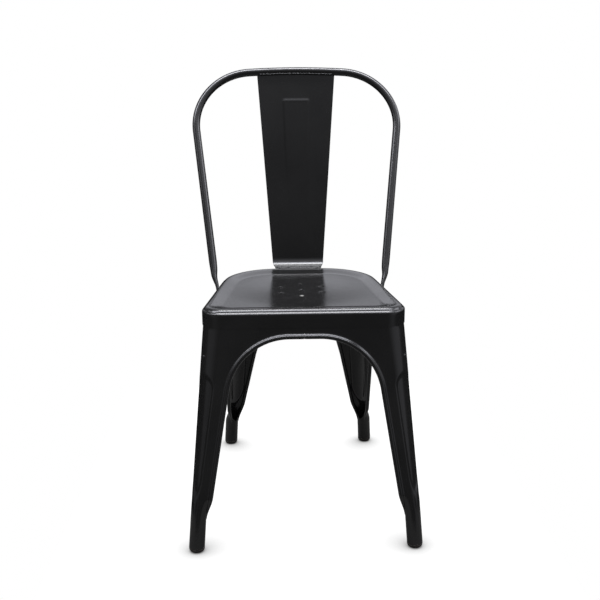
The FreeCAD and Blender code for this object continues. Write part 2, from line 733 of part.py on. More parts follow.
def back_splat():
    """Sheet between the seat's rear rim and the hoop's top, with its pressed panel."""
    profile, back_start, up, front = splat_profile()
    frame = (back_start, up, front)
    width = 2.0 * SPLAT_TOP_HALF + 10.0
    sheet = Part.Face(profile).extrude(Vector(width, 0.0, 0.0))
    sheet.translate(Vector(-width / 2.0, 0.0, 0.0))
    sheet = sheet.common(splat_outline())
    behind = 3.0
    bulge = panel_wedge(frame, 0.0, SPLAT_SHEET + PANEL_DEPTH, SPLAT_SHEET, 0.0)
    recess = panel_wedge(frame, -behind, PANEL_DEPTH, 0.0, -SPLAT_SHEET)
    return sheet.fuse(bulge).cut(recess).cut(hoop_rod(HOOP_RADIUS))


# Brace under the seat


def strap_ends(first, second, z):
    """Ends of a strap that runs between the insides of two opposite leg corners."""
    gap = 4.2
    ends = []
    for leg, side in ((first, 1.0), (second, -1.0)):
        inner = leg.centre(z) + leg.diagonal() * (leg.radius(z) - SHEET)
        ends.append(Vector(inner.x * side, inner.y, z))
    axis = (ends[1] - ends[0]).normalize()
    return ends[0] + axis * gap, ends[1] - axis * gap, axis


def strap_middle(start, axis):
    """Point of a strap where it crosses the chair's middle plane."""
    return start - axis * (start.x / axis.x)


def bumper_places(start, axis):
    """Middles of the two rubber bumpers on one strap."""
    middle = strap_middle(start, axis)
    return [middle + axis * (side * BUMPER_DISTANCE) for side in (-1.0, 1.0)]


def brace_strap(start, end, axis):
    """Flat strap with its holes for the rivet and the two bumpers."""
    wide = Vector(-axis.y, axis.x, 0.0) * (STRAP_WIDTH / 2.0)
    corners = [start - wide, end - wide, end + wide, start + wide]
    strap = Part.Face(Part.makePolygon(corners + corners[:1])).extrude(UP * STRAP_THICKNESS)
    below = UP * -STRAP_THICKNESS
    tall = 3.0 * STRAP_THICKNESS
    strap = strap.cut(Part.makeCylinder(RIVET_RADIUS, tall, strap_middle(start, axis) + below))
    for place in bumper_places(start, axis):
        strap = strap.cut(Part.makeCylinder(BUMPER_STEM_RADIUS, tall, place + below))
    return strap


def turned(points, base):
    """Round piece about an upright axis, from its half section as radius and height."""
    outline = [Vector(base.x + radius, base.y, base.z + height) for radius, height in points]
    face = Part.Face(Part.makePolygon(outline + outline[:1]))
    return face.revolve(base, UP, 360.0)


def brace_rivet(middle):
    """Rivet through the crossing, with a low head each side."""
    grip = 2.0 * STRAP_THICKNESS
    crown = RIVET_HEAD_RADIUS * 0.5
    return turned([
        (0.0, -RIVET_HEAD_HEIGHT),
        (crown, -RIVET_HEAD_HEIGHT),
        (RIVET_HEAD_RADIUS, -RIVET_HEAD_HEIGHT * 0.4),
        (RIVET_HEAD_RADIUS, 0.0),
        (RIVET_RADIUS, 0.0),
        (RIVET_RADIUS, grip),
        (RIVET_HEAD_RADIUS, grip),
        (RIVET_HEAD_RADIUS, grip + RIVET_HEAD_HEIGHT * 0.4),
        (crown, grip + RIVET_HEAD_HEIGHT),
        (0.0, grip + RIVET_HEAD_HEIGHT),
    ], middle)


def stacking_bumper(place):
    """Rubber button under a strap, held by a stem with a small head."""
    head = BUMPER_STEM_RADIUS + 2.0
    grip = STRAP_THICKNESS
    edge = 1.5
    return turned([
        (0.0, -BUMPER_HEIGHT),
        (BUMPER_RADIUS - edge, -BUMPER_HEIGHT),
        (BUMPER_RADIUS, edge - BUMPER_HEIGHT),
        (BUMPER_RADIUS, 0.0),
        (BUMPER_STEM_RADIUS, 0.0),
        (BUMPER_STEM_RADIUS, grip),
        (head, grip),
        (BUMPER_STEM_RADIUS, grip + edge),
        (0.0, grip + edge),
    ], place)


# Welds


def round_seam(start, end, radius):
    """Weld bead between two points, with round ends."""
    rod = cylinder_between(start, end, radius)
    return rod.fuse([Part.makeSphere(radius, start), Part.makeSphere(radius, end)])


def brace_welds(straps):
    """Welds that join the four strap ends to the leg corners."""
    welds = []
    for start, end, axis in straps:
        wide = Vector(-axis.y, axis.x, 0.0) * (STRAP_WIDTH / 2.0 - WELD_RADIUS)
        for tip, outward in ((start, axis * -1.0), (end, axis)):
            middle = tip + outward * WELD_RADIUS + UP * (STRAP_THICKNESS / 2.0)
            welds.append(cylinder_between(middle - wide, middle + wide, 1.6 * WELD_RADIUS))
    return welds


def seam_welds(legs):
    """Upright welds inside the four aprons, where two legs meet."""
    low_z = CROWN_Z + 2.0 * BEAD_RADIUS + WELD_RADIUS
    high_z = LEG_TOP_Z - WELD_RADIUS
    inset = SHEET + 0.5 * WELD_RADIUS
    welds = []
    for leg in legs:
        face_low = leg.seam_points(low_z, inset)[0]
        face_high = leg.seam_points(high_z, inset)[0]
        welds.append(round_seam(face_low, face_high, WELD_RADIUS))
    side_low = legs[0].seam_points(low_z, inset)[1]
    side_high = legs[0].seam_points(high_z, inset)[1]
    side = round_seam(side_low, side_high, WELD_RADIUS)
    return welds + [side, mirrored(side)]


def hoop_welds():
    """Welds along both edges of each flattened hoop end, on the skirt."""
    broad = HOOP_FLAT_WIDE - 1.0
    low = HOOP_TIP + WELD_RADIUS
    high = 8.0
    welds = []
    for side in (-1.0, 1.0):
        ends = []
        for up in (low, high):
            point = hoop_point(0.0, up) + HOOP_OUT * (broad * side)
            point.x = skirt_x(point.y) + 0.6
            ends.append(point)
        seam = round_seam(ends[0], ends[1], WELD_RADIUS)
        welds.extend([seam, mirrored(seam)])
    return welds


def splat_foot_weld():
    """Weld along the front edge of the splat's flange, on the seat's rim."""
    y = SPLAT_BEND_Y - SPLAT_FLANGE
    half = SPLAT_FOOT_HALF - SPLAT_FOOT_ROUND - WELD_RADIUS
    start = Vector(-half, y, SEAT_HEIGHT)
    end = Vector(half, y, SEAT_HEIGHT)
    return round_seam(start, end, 0.8 * WELD_RADIUS)


def splat_top_weld():
    """Weld behind the splat's top edge, along the underside of the tube."""
    centre = hoop_point(0.0, HOOP_TOP - HOOP_BOW_RADIUS) + HOOP_OUT * -3.4
    radius = HOOP_BOW_RADIUS - HOOP_RADIUS + 0.4
    half = math.asin((SPLAT_TOP_HALF - 6.0) / radius)
    right_angle = math.pi / 2.0
    path = arc(centre, radius, right_angle - half, right_angle + half,
               Vector(1.0, 0.0, 0.0), HOOP_UP)
    start = path.firstVertex().Point
    direction = path.tangentAt(path.FirstParameter)
    ring = Part.Wire(Part.makeCircle(WELD_RADIUS, start, direction))
    return Part.Wire(path).makePipeShell([ring], True, False)


def trimmed(welds, pieces):
    """Welds without the metal of the pieces that they join, each as its one main solid."""
    kept = [max(weld.cut(pieces).Solids, key=lambda solid: solid.Volume) for weld in welds]
    return Part.makeCompound(kept)


def write(name, shape):
    """Save one node, and print whether each of its solids is sound."""
    solids = shape.Solids
    sound = all(s.isValid() for s in solids)
    body = solids[0] if len(solids) == 1 else Part.makeCompound(solids)
    body.exportStep("parts/%s.step" % name)
    volume = sum(s.Volume for s in solids)
    print("%-20s solids %d sound %s volume %.0f" % (name, len(solids), sound, volume))


def main():
    os.makedirs("parts", exist_ok=True)
    front_leg = Leg(FRONT_FOOT_X, False, SEAT_FRONT_RADIUS, FRONT_ARCH, SIDE_FRONT_ARCH)
    rear_leg = Leg(REAR_FOOT_X, True, SEAT_REAR_RADIUS, REAR_ARCH, SIDE_REAR_ARCH)
    seat = seat_pan()
    write("seat_pan", seat)
    pressings = []
    for place, leg in (("front", front_leg), ("rear", rear_leg)):
        right = leg_pressing(leg)
        left = mirrored(right)
        pressings.extend([right, left])
        write(place + "_right_leg", right)
        write(place + "_left_leg", left)
        foot = rubber_foot(leg)
        write(place + "_right_foot", foot)
        write(place + "_left_foot", mirrored(foot))
    hoop = back_hoop()
    splat = back_splat()
    write("back_hoop", hoop)
    write("back_splat", splat)
    lower = strap_ends(front_leg, rear_leg, BRACE_Z)
    upper = [Vector(-point.x, point.y, point.z) for point in lower]
    upper[0].z += STRAP_THICKNESS
    upper[1].z += STRAP_THICKNESS
    lower_strap = brace_strap(*lower)
    upper_strap = brace_strap(*upper)
    write("brace_strap_lower", lower_strap)
    write("brace_strap_upper", upper_strap)
    write("brace_rivet", brace_rivet(strap_middle(lower[0], lower[2])))
    bumpers = [stacking_bumper(p) for strap in (lower, upper)
               for p in bumper_places(strap[0], strap[2])]
    write("stacking_bumpers", Part.makeCompound(bumpers))
    steel = pressings + [lower_strap, upper_strap]
    write("brace_end_welds", trimmed(brace_welds((lower, upper)), steel))
    write("apron_seam_welds", trimmed(seam_welds((front_leg, rear_leg)), pressings + [seat]))
    write("hoop_end_welds", trimmed(hoop_welds(), [seat, hoop]))
    write("splat_foot_weld", trimmed([splat_foot_weld()], [seat, splat]))
    write("splat_top_weld", trimmed([splat_top_weld()], [hoop, splat]))


main()
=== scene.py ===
import json
import math

import bmesh
import bpy
import numpy as np
from mathutils import Matrix, Vector, geometry


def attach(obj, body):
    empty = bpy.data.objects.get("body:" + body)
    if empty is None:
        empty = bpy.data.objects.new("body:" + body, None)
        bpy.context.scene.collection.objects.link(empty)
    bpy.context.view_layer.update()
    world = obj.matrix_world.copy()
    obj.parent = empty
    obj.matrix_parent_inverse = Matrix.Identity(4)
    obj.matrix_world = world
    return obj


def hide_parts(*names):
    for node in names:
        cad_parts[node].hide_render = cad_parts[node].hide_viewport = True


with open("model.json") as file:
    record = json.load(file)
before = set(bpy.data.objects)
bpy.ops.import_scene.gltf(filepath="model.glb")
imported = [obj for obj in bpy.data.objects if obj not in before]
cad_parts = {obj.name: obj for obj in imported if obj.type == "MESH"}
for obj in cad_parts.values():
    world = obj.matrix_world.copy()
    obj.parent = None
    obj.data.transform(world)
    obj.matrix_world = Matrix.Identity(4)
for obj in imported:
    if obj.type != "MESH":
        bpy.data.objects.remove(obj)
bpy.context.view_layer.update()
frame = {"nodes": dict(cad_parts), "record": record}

# Metal bistro chair. All sizes below are in millimetres and are turned into metres when a mesh
# is made. X runs to the right seen from the front, Y to the back, Z up.

MM = 0.001
UP = np.array([0.0, 0.0, 1.0])
WHITE = (1.0, 1.0, 1.0, 1.0)

# Sizes shared with the CAD source
TOTAL_HEIGHT = 860.0
SEAT_HEIGHT = 444.0
SHEET = 1.2
SEAT_FRONT_Y = -198.0
SEAT_REAR_Y = 153.0
SEAT_SIDE_X = 164.5
SEAT_TAPER = 0.125
SEAT_FRONT_RADIUS = 40.0
SEAT_REAR_RADIUS = 112.0
SKIRT_DEPTH = 34.0
SEAT_EDGE_RADIUS = 9.0
DISH_DEPTH = 4.0
SEAT_MIDDLE_Y = -24.0
DRAIN_RING_RADIUS = 46.0
FOOT_Y = 241.5
FRONT_FOOT_X = 201.0
REAR_FOOT_X = 158.0
FOOT_RADIUS = 14.5
FOOT_JOIN_Z = 60.0
FOOT_CAP_HEIGHT = 9.0
LEG_TOP_Z = 434.0
SIDE_SEAM_Y = -25.0
BEAD_RADIUS = 4.2
CROWN_Z = 390.0
ARCH_END_Z = 105.0
FRONT_ARCH = {"level": 27.5, "radius": 110.0, "lean": 9.4}
REAR_ARCH = {"level": 2.0, "radius": 72.0, "lean": 12.0}
SIDE_FRONT_ARCH = {"level": 22.0, "radius": 108.0, "lean": 13.0}
SIDE_REAR_ARCH = {"level": 22.0, "radius": 106.0, "lean": 21.5}
SIDE_SCALE = math.hypot(1.0, SEAT_TAPER)
SKIRT_Z = SEAT_HEIGHT - SKIRT_DEPTH


# Materials


def new_material(name):
    """Empty node material with its principled shader."""
    material = bpy.data.materials.new(name)
    material.use_nodes = True
    tree = material.node_tree
    return material, tree, tree.nodes["Principled BSDF"]


def feed(tree, value, socket):
    """Links a socket to another node's output, or sets it to a plain value."""
    if isinstance(value, bpy.types.NodeSocket):
        tree.links.new(value, socket)
    else:
        socket.default_value = value


def add(tree, kind, **values):
    """New node, with sockets fed by name and properties set by attribute."""
    node = tree.nodes.new(kind)
    for key, value in values.items():
        if hasattr(node, key):
            setattr(node, key, value)
        else:
            feed(tree, value, node.inputs[key.replace("_", " ")])
    return node


def noise_node(tree, vector, scale, detail, roughness=0.5):
    return add(tree, "ShaderNodeTexNoise", Vector=vector, Scale=scale, Detail=detail,
               Roughness=roughness).outputs["Fac"]


def map_range(tree, value, low, high, to_low, to_high):
    return add(tree, "ShaderNodeMapRange", Value=value, From_Min=low, From_Max=high,
               To_Min=to_low, To_Max=to_high).outputs["Result"]


def math_node(tree, operation, first, second):
    """Arithmetic on sockets or plain numbers."""
    node = add(tree, "ShaderNodeMath", operation=operation)
    feed(tree, first, node.inputs[0])
    feed(tree, second, node.inputs[1])
    return node.outputs[0]


def times(tree, first, second):
    return math_node(tree, "MULTIPLY", first, second)


def mix_colours(tree, factor, first, second):
    """Mix of two colours, each a socket or three plain numbers."""
    node = add(tree, "ShaderNodeMix", data_type="RGBA")
    for number, value in ((0, factor), (6, first), (7, second)):
        feed(tree, (*value, 1.0) if isinstance(value, tuple) else value, node.inputs[number])
    return node.outputs[2]


def add_relief(tree, shader, height, strength):
    """Fine bumps from a height pattern, four tenths of a millimetre deep at full strength."""
    bump = add(tree, "ShaderNodeBump", Height=height, Strength=strength, Distance=0.4 * MM)
    tree.links.new(bump.outputs["Normal"], shader.inputs["Normal"])


def brighter(colour, factor):
    return tuple(c * factor for c in colour)


def powder_coat(name, base, worn):
    """Semi-gloss black powder coat: fine orange peel, faint dust, and edges rubbed a little."""
    material, tree, shader = new_material(name)
    place = tree.nodes.new("ShaderNodeTexCoord").outputs["Object"]
    broad = noise_node(tree, place, 9.0, 3.0)
    dust = noise_node(tree, place, 520.0, 2.0)
    peel = noise_node(tree, place, 900.0, 1.0)
    smudge = noise_node(tree, place, 28.0, 4.0, 0.6)
    edges = tree.nodes.new("ShaderNodeNewGeometry").outputs["Pointiness"]
    rubbed = map_range(tree, edges, 0.53, 0.62, 0.0, 1.0)
    patch = map_range(tree, smudge, 0.45, 0.62, 0.15, 0.8)
    tone = mix_colours(tree, map_range(tree, broad, 0.35, 0.65, 0.0, 1.0), base,
                       brighter(base, 1.35))
    tone = mix_colours(tree, map_range(tree, dust, 0.62, 0.8, 0.0, 0.35), tone,
                       brighter(base, 2.2))
    tone = mix_colours(tree, times(tree, rubbed, patch), tone, worn)
    tree.links.new(tone, shader.inputs["Base Color"])
    tree.links.new(map_range(tree, smudge, 0.3, 0.7, 0.14, 0.2), shader.inputs["Roughness"])
    add_relief(tree, shader, peel, 0.12)
    shader.inputs["IOR"].default_value = 1.5
    return material


def rubber(name, base):
    """Matt rubber with a fine grain and scuffs."""
    material, tree, shader = new_material(name)
    place = tree.nodes.new("ShaderNodeTexCoord").outputs["Object"]
    grain = noise_node(tree, place, 1400.0, 2.0)
    scuff = noise_node(tree, place, 120.0, 5.0, 0.65)
    tone = mix_colours(tree, map_range(tree, scuff, 0.5, 0.7, 0.0, 0.7), base,
                       brighter(base, 2.4))
    tree.links.new(tone, shader.inputs["Base Color"])
    tree.links.new(map_range(tree, scuff, 0.3, 0.7, 0.62, 0.85), shader.inputs["Roughness"])
    add_relief(tree, shader, grain, 0.3)
    return material


SLOT_MATERIALS = {
    "powder_coat": powder_coat("black_powder_coat", (0.008, 0.008, 0.0082),
                               (0.022, 0.0215, 0.021)),
    "foot_rubber": rubber("foot_rubber", (0.013, 0.011, 0.009)),
    "bumper_rubber": rubber("bumper_rubber", (0.012, 0.012, 0.012)),
}


def paint(shown, slot):
    shown.data.materials.clear()
    shown.data.materials.append(SLOT_MATERIALS[slot])


for part in frame["record"]["subparts"]:
    shown = frame["nodes"].get(part["node"])
    if shown is not None:
        paint(shown, part["material_slot"])


# Points and meshes


def unit(v):
    v = np.asarray(v, float)
    return v / np.linalg.norm(v)


def smoothstep(low, high, value):
    t = min(max((value - low) / (high - low), 0.0), 1.0)
    return t * t * (3.0 - 2.0 * t)


def blend(first, last, share):
    return first + (last - first) * share


def steps(first, last, count):
    """Evenly spaced values from first to last, both included."""
    return [first + (last - first) * i / count for i in range(count + 1)]


def turns(sides):
    """Angles of evenly spaced points all round a circle."""
    return [2.0 * math.pi * k / sides for k in range(sides)]


def around(centre, radius, angle):
    """Point of a circle in two coordinates."""
    return centre[0] + radius * math.cos(angle), centre[1] + radius * math.sin(angle)


def level_point(centre, radius, angle, z):
    """Point of a level circle at one height."""
    return np.array([*around(centre, radius, angle), z])


class Surface:
    """Points and faces of one piece, gathered from rows of points, in millimetres."""

    def __init__(self):
        self.points = []
        self.faces = []

    def take(self, points):
        """Adds points and returns the number of the first one."""
        start = len(self.points)
        self.points.extend(tuple(float(c) for c in p) for p in points)
        return start

    def grid(self, rows, closed=False, flip=False):
        """Quads over rows of points; closed joins each row's last point to its first."""
        start = self.take(p for row in rows for p in row)
        width = len(rows[0])
        for i in range(len(rows) - 1):
            for j in range(width if closed else width - 1):
                a = start + i * width + j
                b = start + i * width + (j + 1) % width
                quad = (a, b, b + width, a + width)
                self.faces.append(quad[::-1] if flip else quad)

    def fan(self, ring, flip=False):
        """Triangles from a closed ring of points to its middle."""
        start = self.take([*ring, np.mean(ring, axis=0)])
        count = len(ring)
        for j in range(count):
            face = (start + j, start + (j + 1) % count, start + count)
            self.faces.append(face[::-1] if flip else face)

    def rod(self, rows):
        """Closed rows of points, with a fan over each end."""
        self.grid(rows, closed=True)
        self.fan(rows[0], flip=True)
        self.fan(rows[-1])


def placed(name, data):
    """New object in the scene."""
    made = bpy.data.objects.new(name, data)
    bpy.context.scene.collection.objects.link(made)
    return made


def piece(name, surface, nodes, slot="powder_coat", sheet=0.0, mirror=False, bevel=0.0,
          crease=30.0):
    """Object from a surface: welded, smooth, with its material, on the root body."""
    points = [Vector(p) * MM for p in surface.points]
    faces = surface.faces
    if mirror:
        points = [Vector((-p.x, p.y, p.z)) for p in points]
        faces = [f[::-1] for f in faces]
    mesh = bpy.data.meshes.new(name)
    mesh.from_pydata(points, [], faces)
    made = bmesh.new()
    made.from_mesh(mesh)
    bmesh.ops.remove_doubles(made, verts=made.verts, dist=WELD_DISTANCE)
    bmesh.ops.dissolve_degenerate(made, edges=made.edges, dist=SHORTEST_EDGE)
    made.to_mesh(mesh)
    made.free()
    shown = placed(name, mesh)
    if sheet:
        thick = shown.modifiers.new("sheet", "SOLIDIFY")
        thick.thickness = sheet * MM
        thick.offset = -1.0
    if bevel:
        eased = shown.modifiers.new("eased_edge", "BEVEL")
        eased.width = bevel * MM
        eased.segments = 2
        eased.limit_method = "ANGLE"
        eased.angle_limit = math.radians(60.0)
    bpy.context.view_layer.update()
    if sheet or bevel:
        graph = bpy.context.evaluated_depsgraph_get()
        final = bpy.data.meshes.new_from_object(shown.evaluated_get(graph))
        shown.modifiers.clear()
        shown.data = final
    shown.data.name = name
    paint(shown, slot)
    shown.data.shade_smooth()
    shown.data.set_sharp_from_angle(angle=math.radians(crease))
    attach(shown, "root")
    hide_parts(*nodes)


# Points of a mesh that are closer than this become one, in metres
WELD_DISTANCE = 0.00002
SHORTEST_EDGE = 0.000005
# Rounded end of a tube: how far each ring stands out, and its size, as shares of the radius
DOME_RINGS = ((0.27, 0.88), (0.48, 0.6))


def tube(surface, path, radii, normals, sides, domed=False):
    """Round tube along points, with a radius and an outward direction at each of them."""
    path = [np.asarray(p, float) for p in path]
    rows = []
    for i, centre in enumerate(path):
        ahead = unit(path[min(i + 1, len(path) - 1)] - path[max(i - 1, 0)])
        normal = np.asarray(normals[i], float)
        normal = unit(normal - ahead * normal.dot(ahead))
        side = np.cross(ahead, normal)
        rows.append([centre + radii[i] * (math.cos(t) * normal + math.sin(t) * side)
                     for t in turns(sides)])
    if domed:
        ring = rows[-1]
        for lift, share in DOME_RINGS:
            rows.append([centre + (p - centre) * share + ahead * radii[-1] * lift
                         for p in ring])
    surface.rod(rows)


def turned(surface, profile, base, sides=48):
    """Round piece about an upright axis, from radius and height pairs, top last."""
    surface.rod([[level_point(base, radius, t, base[2] + height) for t in turns(sides)]
                 for radius, height in profile])


# Legs


CORNER_COLUMNS = 44
ZONE_ROWS = 112
TOP_STEPS = 28
ACROSS_STEPS = 14
ANKLE_ROWS = 20
HEM_END_ROWS = 22
INNER_STEPS = 14
FOOT_ROWS = 8
FLAP_ROWS = 6
# Height of the sheet between the hems above the foot: in its middle, and what its sides add
FLAP_MIDDLE = 3.0
FLAP_SIDES = 17.0
HEM_END_RADIUS = 1.3
HEM_SIDES = 22
# Distance from an arch's edge, and lift of the sheet where it runs up onto the hem
FILLET = ((3.4, 2.3), (4.1, 1.5), (4.9, 0.75), (5.9, 0.25), (7.2, 0.0))
SEAM_GAP = 0.15
# Place on an arch's round from which its rows meet the rows of the corner
ARCH_SPLIT = math.radians(47.0)
SIDE_RISE = 0.998
ANKLE_DROP = ARCH_END_Z - FOOT_JOIN_Z
FLUTE_HALF = 27.5
FLUTE_TOP = 327.0
FLUTE_TOP_ROUND = 27.0
FLUTE_FOOT = 98.0
FLUTE_FOOT_RUN = 40.0
FLUTE_PRESS = 3.8
FLUTE_WALL = 7.5


class Leg:
    """Outer surface of one right-hand leg, from its apron down to its round foot."""

    def __init__(self, back):
        self.sign = 1.0 if back else -1.0
        self.turn = -self.sign
        seat_y = SEAT_REAR_Y if back else SEAT_FRONT_Y
        self.top_y = seat_y - self.sign * SHEET
        self.foot_y = self.sign * (FOOT_Y + FOOT_RADIUS)
        self.face_slope = (self.top_y - self.foot_y) / (SKIRT_Z - FOOT_CAP_HEIGHT)
        self.foot = np.array([REAR_FOOT_X if back else FRONT_FOOT_X, self.sign * FOOT_Y])
        self.foot_slope = np.array([-0.0664, -0.2569, 1.0] if back else [-0.0732, 0.1446, 1.0])
        self.face_arch = REAR_ARCH if back else FRONT_ARCH
        self.side_arch = SIDE_REAR_ARCH if back else SIDE_FRONT_ARCH
        top_radius = (SEAT_REAR_RADIUS if back else SEAT_FRONT_RADIUS) - SHEET
        share = ANKLE_DROP / (SKIRT_Z - FOOT_JOIN_Z)
        self.radii = (blend(FOOT_RADIUS, top_radius, share), top_radius)
        waist = (158.5, 0.0) if back else (180.1, SEAT_TAPER)
        top = (SEAT_SIDE_X - SHEET * SIDE_SCALE, SEAT_TAPER)
        self.corners = []
        for z, (side_x, taper), radius in zip((ARCH_END_Z, SKIRT_Z), (waist, top), self.radii):
            cy = self.face_y(z) - self.sign * radius
            cx = side_x - taper * cy - radius * math.hypot(1.0, taper)
            seam_x = side_x - taper * SIDE_SEAM_Y
            self.corners.append((np.array([cx, cy]), math.atan(taper), seam_x))

    def share(self, z):
        return min((z - ARCH_END_Z) / (SKIRT_Z - ARCH_END_Z), 1.0)

    def face_y(self, z):
        part = min((z - FOOT_CAP_HEIGHT) / (SKIRT_Z - FOOT_CAP_HEIGHT), 1.0)
        return blend(self.foot_y, self.top_y, part)

    def corner(self, z):
        """Centre, radius and the two end angles of the corner round at one level."""
        s = self.share(z)
        (low, low_tilt, _), (high, high_tilt, _) = self.corners
        return (blend(low, high, s), blend(*self.radii, s),
                self.angles(blend(low_tilt, high_tilt, s)))

    def angles(self, tilt):
        """Angles of the inner side, face normal, side normal and last hem on a round."""
        first = math.pi + self.turn * math.pi / 2.0
        second = tilt + (2.0 * math.pi if self.turn > 0 else 0.0)
        return math.pi, first, second, second + self.turn * math.pi / 2.0

    def face_point(self, x, z):
        return np.array([x, self.face_y(z), z])

    def face_normal(self, x, z):
        slope = 0.0 if z > SKIRT_Z else self.face_slope
        return unit([0.0, self.sign, -slope * self.sign])

    def side_point(self, y, z):
        centre, radius, angles = self.corner(z)
        bx, by = around(centre, radius, angles[2])
        seam_x = blend(self.corners[0][2], self.corners[1][2], self.share(z))
        return np.array([blend(bx, seam_x, (by - y) / (by - SIDE_SEAM_Y)), y, z])

    def side_normal(self, y, z):
        step = 0.5
        along_y = self.side_point(y + step, z) - self.side_point(y - step, z)
        low = min(z, SKIRT_Z) - step
        along_z = self.side_point(y, low + step) - self.side_point(y, low - step)
        if z > SKIRT_Z:
            along_z = np.array([0.0, 0.0, 1.0])
        normal = unit(np.cross(along_y, along_z))
        return normal if normal[0] > 0 else -normal

    def foot_centre(self, z):
        return self.foot + self.foot_slope[:2] * (z - FOOT_CAP_HEIGHT)


def arch_samples(arch, rise_z):
    """Points along half an arch as across, height and the sheet's direction from there."""
    radius = arch["radius"] + BEAD_RADIUS
    lean = math.radians(arch["lean"])
    crown = CROWN_Z / rise_z + BEAD_RADIUS
    level = arch["level"]
    centre = (level, crown - radius)

    def on_arc(angle):
        return (*around(centre, radius, angle), math.cos(angle), math.sin(angle))

    out = []
    for run in steps(0.0, level + radius * (math.pi / 2.0 - ARCH_SPLIT), TOP_STEPS)[:-1]:
        if run < level:
            out.append((max(run, SEAM_GAP), crown, 0.0, 1.0))
        else:
            out.append(on_arc(math.pi / 2.0 - (run - level) / radius))
    tangent = around(centre, radius, lean)
    arc_length = radius * (ARCH_SPLIT - lean)
    straight = (tangent[1] - ARCH_END_Z / rise_z) / math.cos(lean)
    for run in steps(0.0, arc_length + straight, ZONE_ROWS):
        if run < arc_length:
            out.append(on_arc(ARCH_SPLIT - run / radius))
        else:
            part = run - arc_length
            out.append((tangent[0] + part * math.sin(lean), tangent[1] - part * math.cos(lean),
                        math.cos(lean), math.sin(lean)))
    return [(a, b * rise_z, na, nb * rise_z) for a, b, na, nb in out]


def panel_rows(edge_of, samples, point_of, normal_of, across_of):
    """Grid between an arch and the corner line; across_of turns an across value into X or Y."""
    rows = []
    for i, (a, z, na, nz) in enumerate(samples):
        edge = edge_of(i)
        start = np.array([across_of(a), z])
        along = unit([across_of(a + na) - across_of(a), nz])
        shrink = min(1.0, 0.55 * np.linalg.norm(edge - start) / FILLET[-1][0])
        row = []
        for distance, lift in FILLET:
            flat = start + along * distance * shrink
            row.append(point_of(*flat) + normal_of(*flat) * lift)
        base = start + along * FILLET[-1][0] * shrink
        row += [point_of(*flat) for flat in steps(base, edge, ACROSS_STEPS)[1:]]
        rows.append(row)
    return rows


def flute_press(z, arc_place, half_arc):
    """How far the flute presses the corner inward at a place along its round."""
    half = min(half_arc * 0.94, FLUTE_HALF)
    above = (z - FLUTE_TOP) / FLUTE_TOP_ROUND + 1.0
    below = (FLUTE_FOOT - z) / FLUTE_FOOT_RUN + 1.0
    depth = 1.0 - math.hypot(arc_place / half, max(above, below, 0.0))
    return FLUTE_PRESS * smoothstep(0.0, FLUTE_WALL / half, depth)


def corner_row(leg, z):
    """Points round the leg's corner at one level, with the flute pressed in."""
    centre, radius, angles = leg.corner(z)
    half_arc = abs(angles[2] - angles[1]) * radius / 2.0
    row = []
    for place, angle in zip(steps(-half_arc, half_arc, CORNER_COLUMNS),
                            steps(angles[1], angles[2], CORNER_COLUMNS)):
        row.append(level_point(centre, radius - flute_press(z, place, half_arc), angle, z))
    return row


def ankle_point(high, low, high_slope, low_slope, t):
    """Smooth way from high at t = 0 down to low at t = 1, with slopes per unit of height."""
    share = 3.0 * t ** 2 - 2.0 * t ** 3
    bend = high_slope * (t ** 3 - 2.0 * t ** 2 + t) + low_slope * (t ** 3 - t ** 2)
    return high * (1.0 - share) + low * share - bend * ANKLE_DROP


def ankle_and_foot(sheet, leg, high, above, counts, flip):
    """Adds the ankle, from the lowest two L-shaped rows to the round foot, and the foot.

    Returns the row of points where the two meet, and the angles of these points.
    """
    angles = leg.angles(leg.corners[0][1])
    ring_angles = [angles[0]]
    for part, count in enumerate(counts):
        ring_angles += steps(angles[part], angles[part + 1], count)[1:]
    join = leg.foot_centre(FOOT_JOIN_Z)
    low = [level_point(join, FOOT_RADIUS, t, FOOT_JOIN_Z) for t in ring_angles]
    slopes = [(h - a) / (h[2] - a[2]) for h, a in zip(high, above)]
    sheet.grid([[ankle_point(p, q, slope, leg.foot_slope, t)
                 for p, q, slope in zip(high, low, slopes)]
                for t in steps(0.0, 1.0, ANKLE_ROWS)], flip=flip)
    # Round foot, closed all round, with the inner side carried up between the two hems
    inner_angles = steps(angles[3], angles[0] + leg.turn * 2.0 * math.pi, INNER_STEPS)
    sheet.grid([[level_point(leg.foot_centre(z), FOOT_RADIUS, t, z)
                 for t in ring_angles + inner_angles[1:-1]]
                for z in steps(FOOT_JOIN_Z, FOOT_CAP_HEIGHT, FOOT_ROWS)],
               closed=True, flip=flip)
    flap_rows = []
    for v in steps(0.0, 1.0, FLAP_ROWS):
        row = []
        for u, angle in zip(steps(0.0, 1.0, INNER_STEPS), inner_angles):
            height = v * (FLAP_MIDDLE + FLAP_SIDES * abs(2.0 * u - 1.0) ** 1.4)
            t = 1.0 - height / ANKLE_DROP
            side_hem, face_hem = (ankle_point(high[k], low[k], slopes[k], leg.foot_slope, t)
                                  for k in (-1, 0))
            bulge = level_point(join, FOOT_RADIUS, angle, FOOT_JOIN_Z) - blend(low[-1], low[0], u)
            bulge *= 1.0 - 0.5 * height / (FLAP_MIDDLE + FLAP_SIDES)
            row.append(blend(side_hem, face_hem, u) + bulge)
        flap_rows.append(row)
    sheet.grid(flap_rows, flip=not flip)
    return low, ring_angles


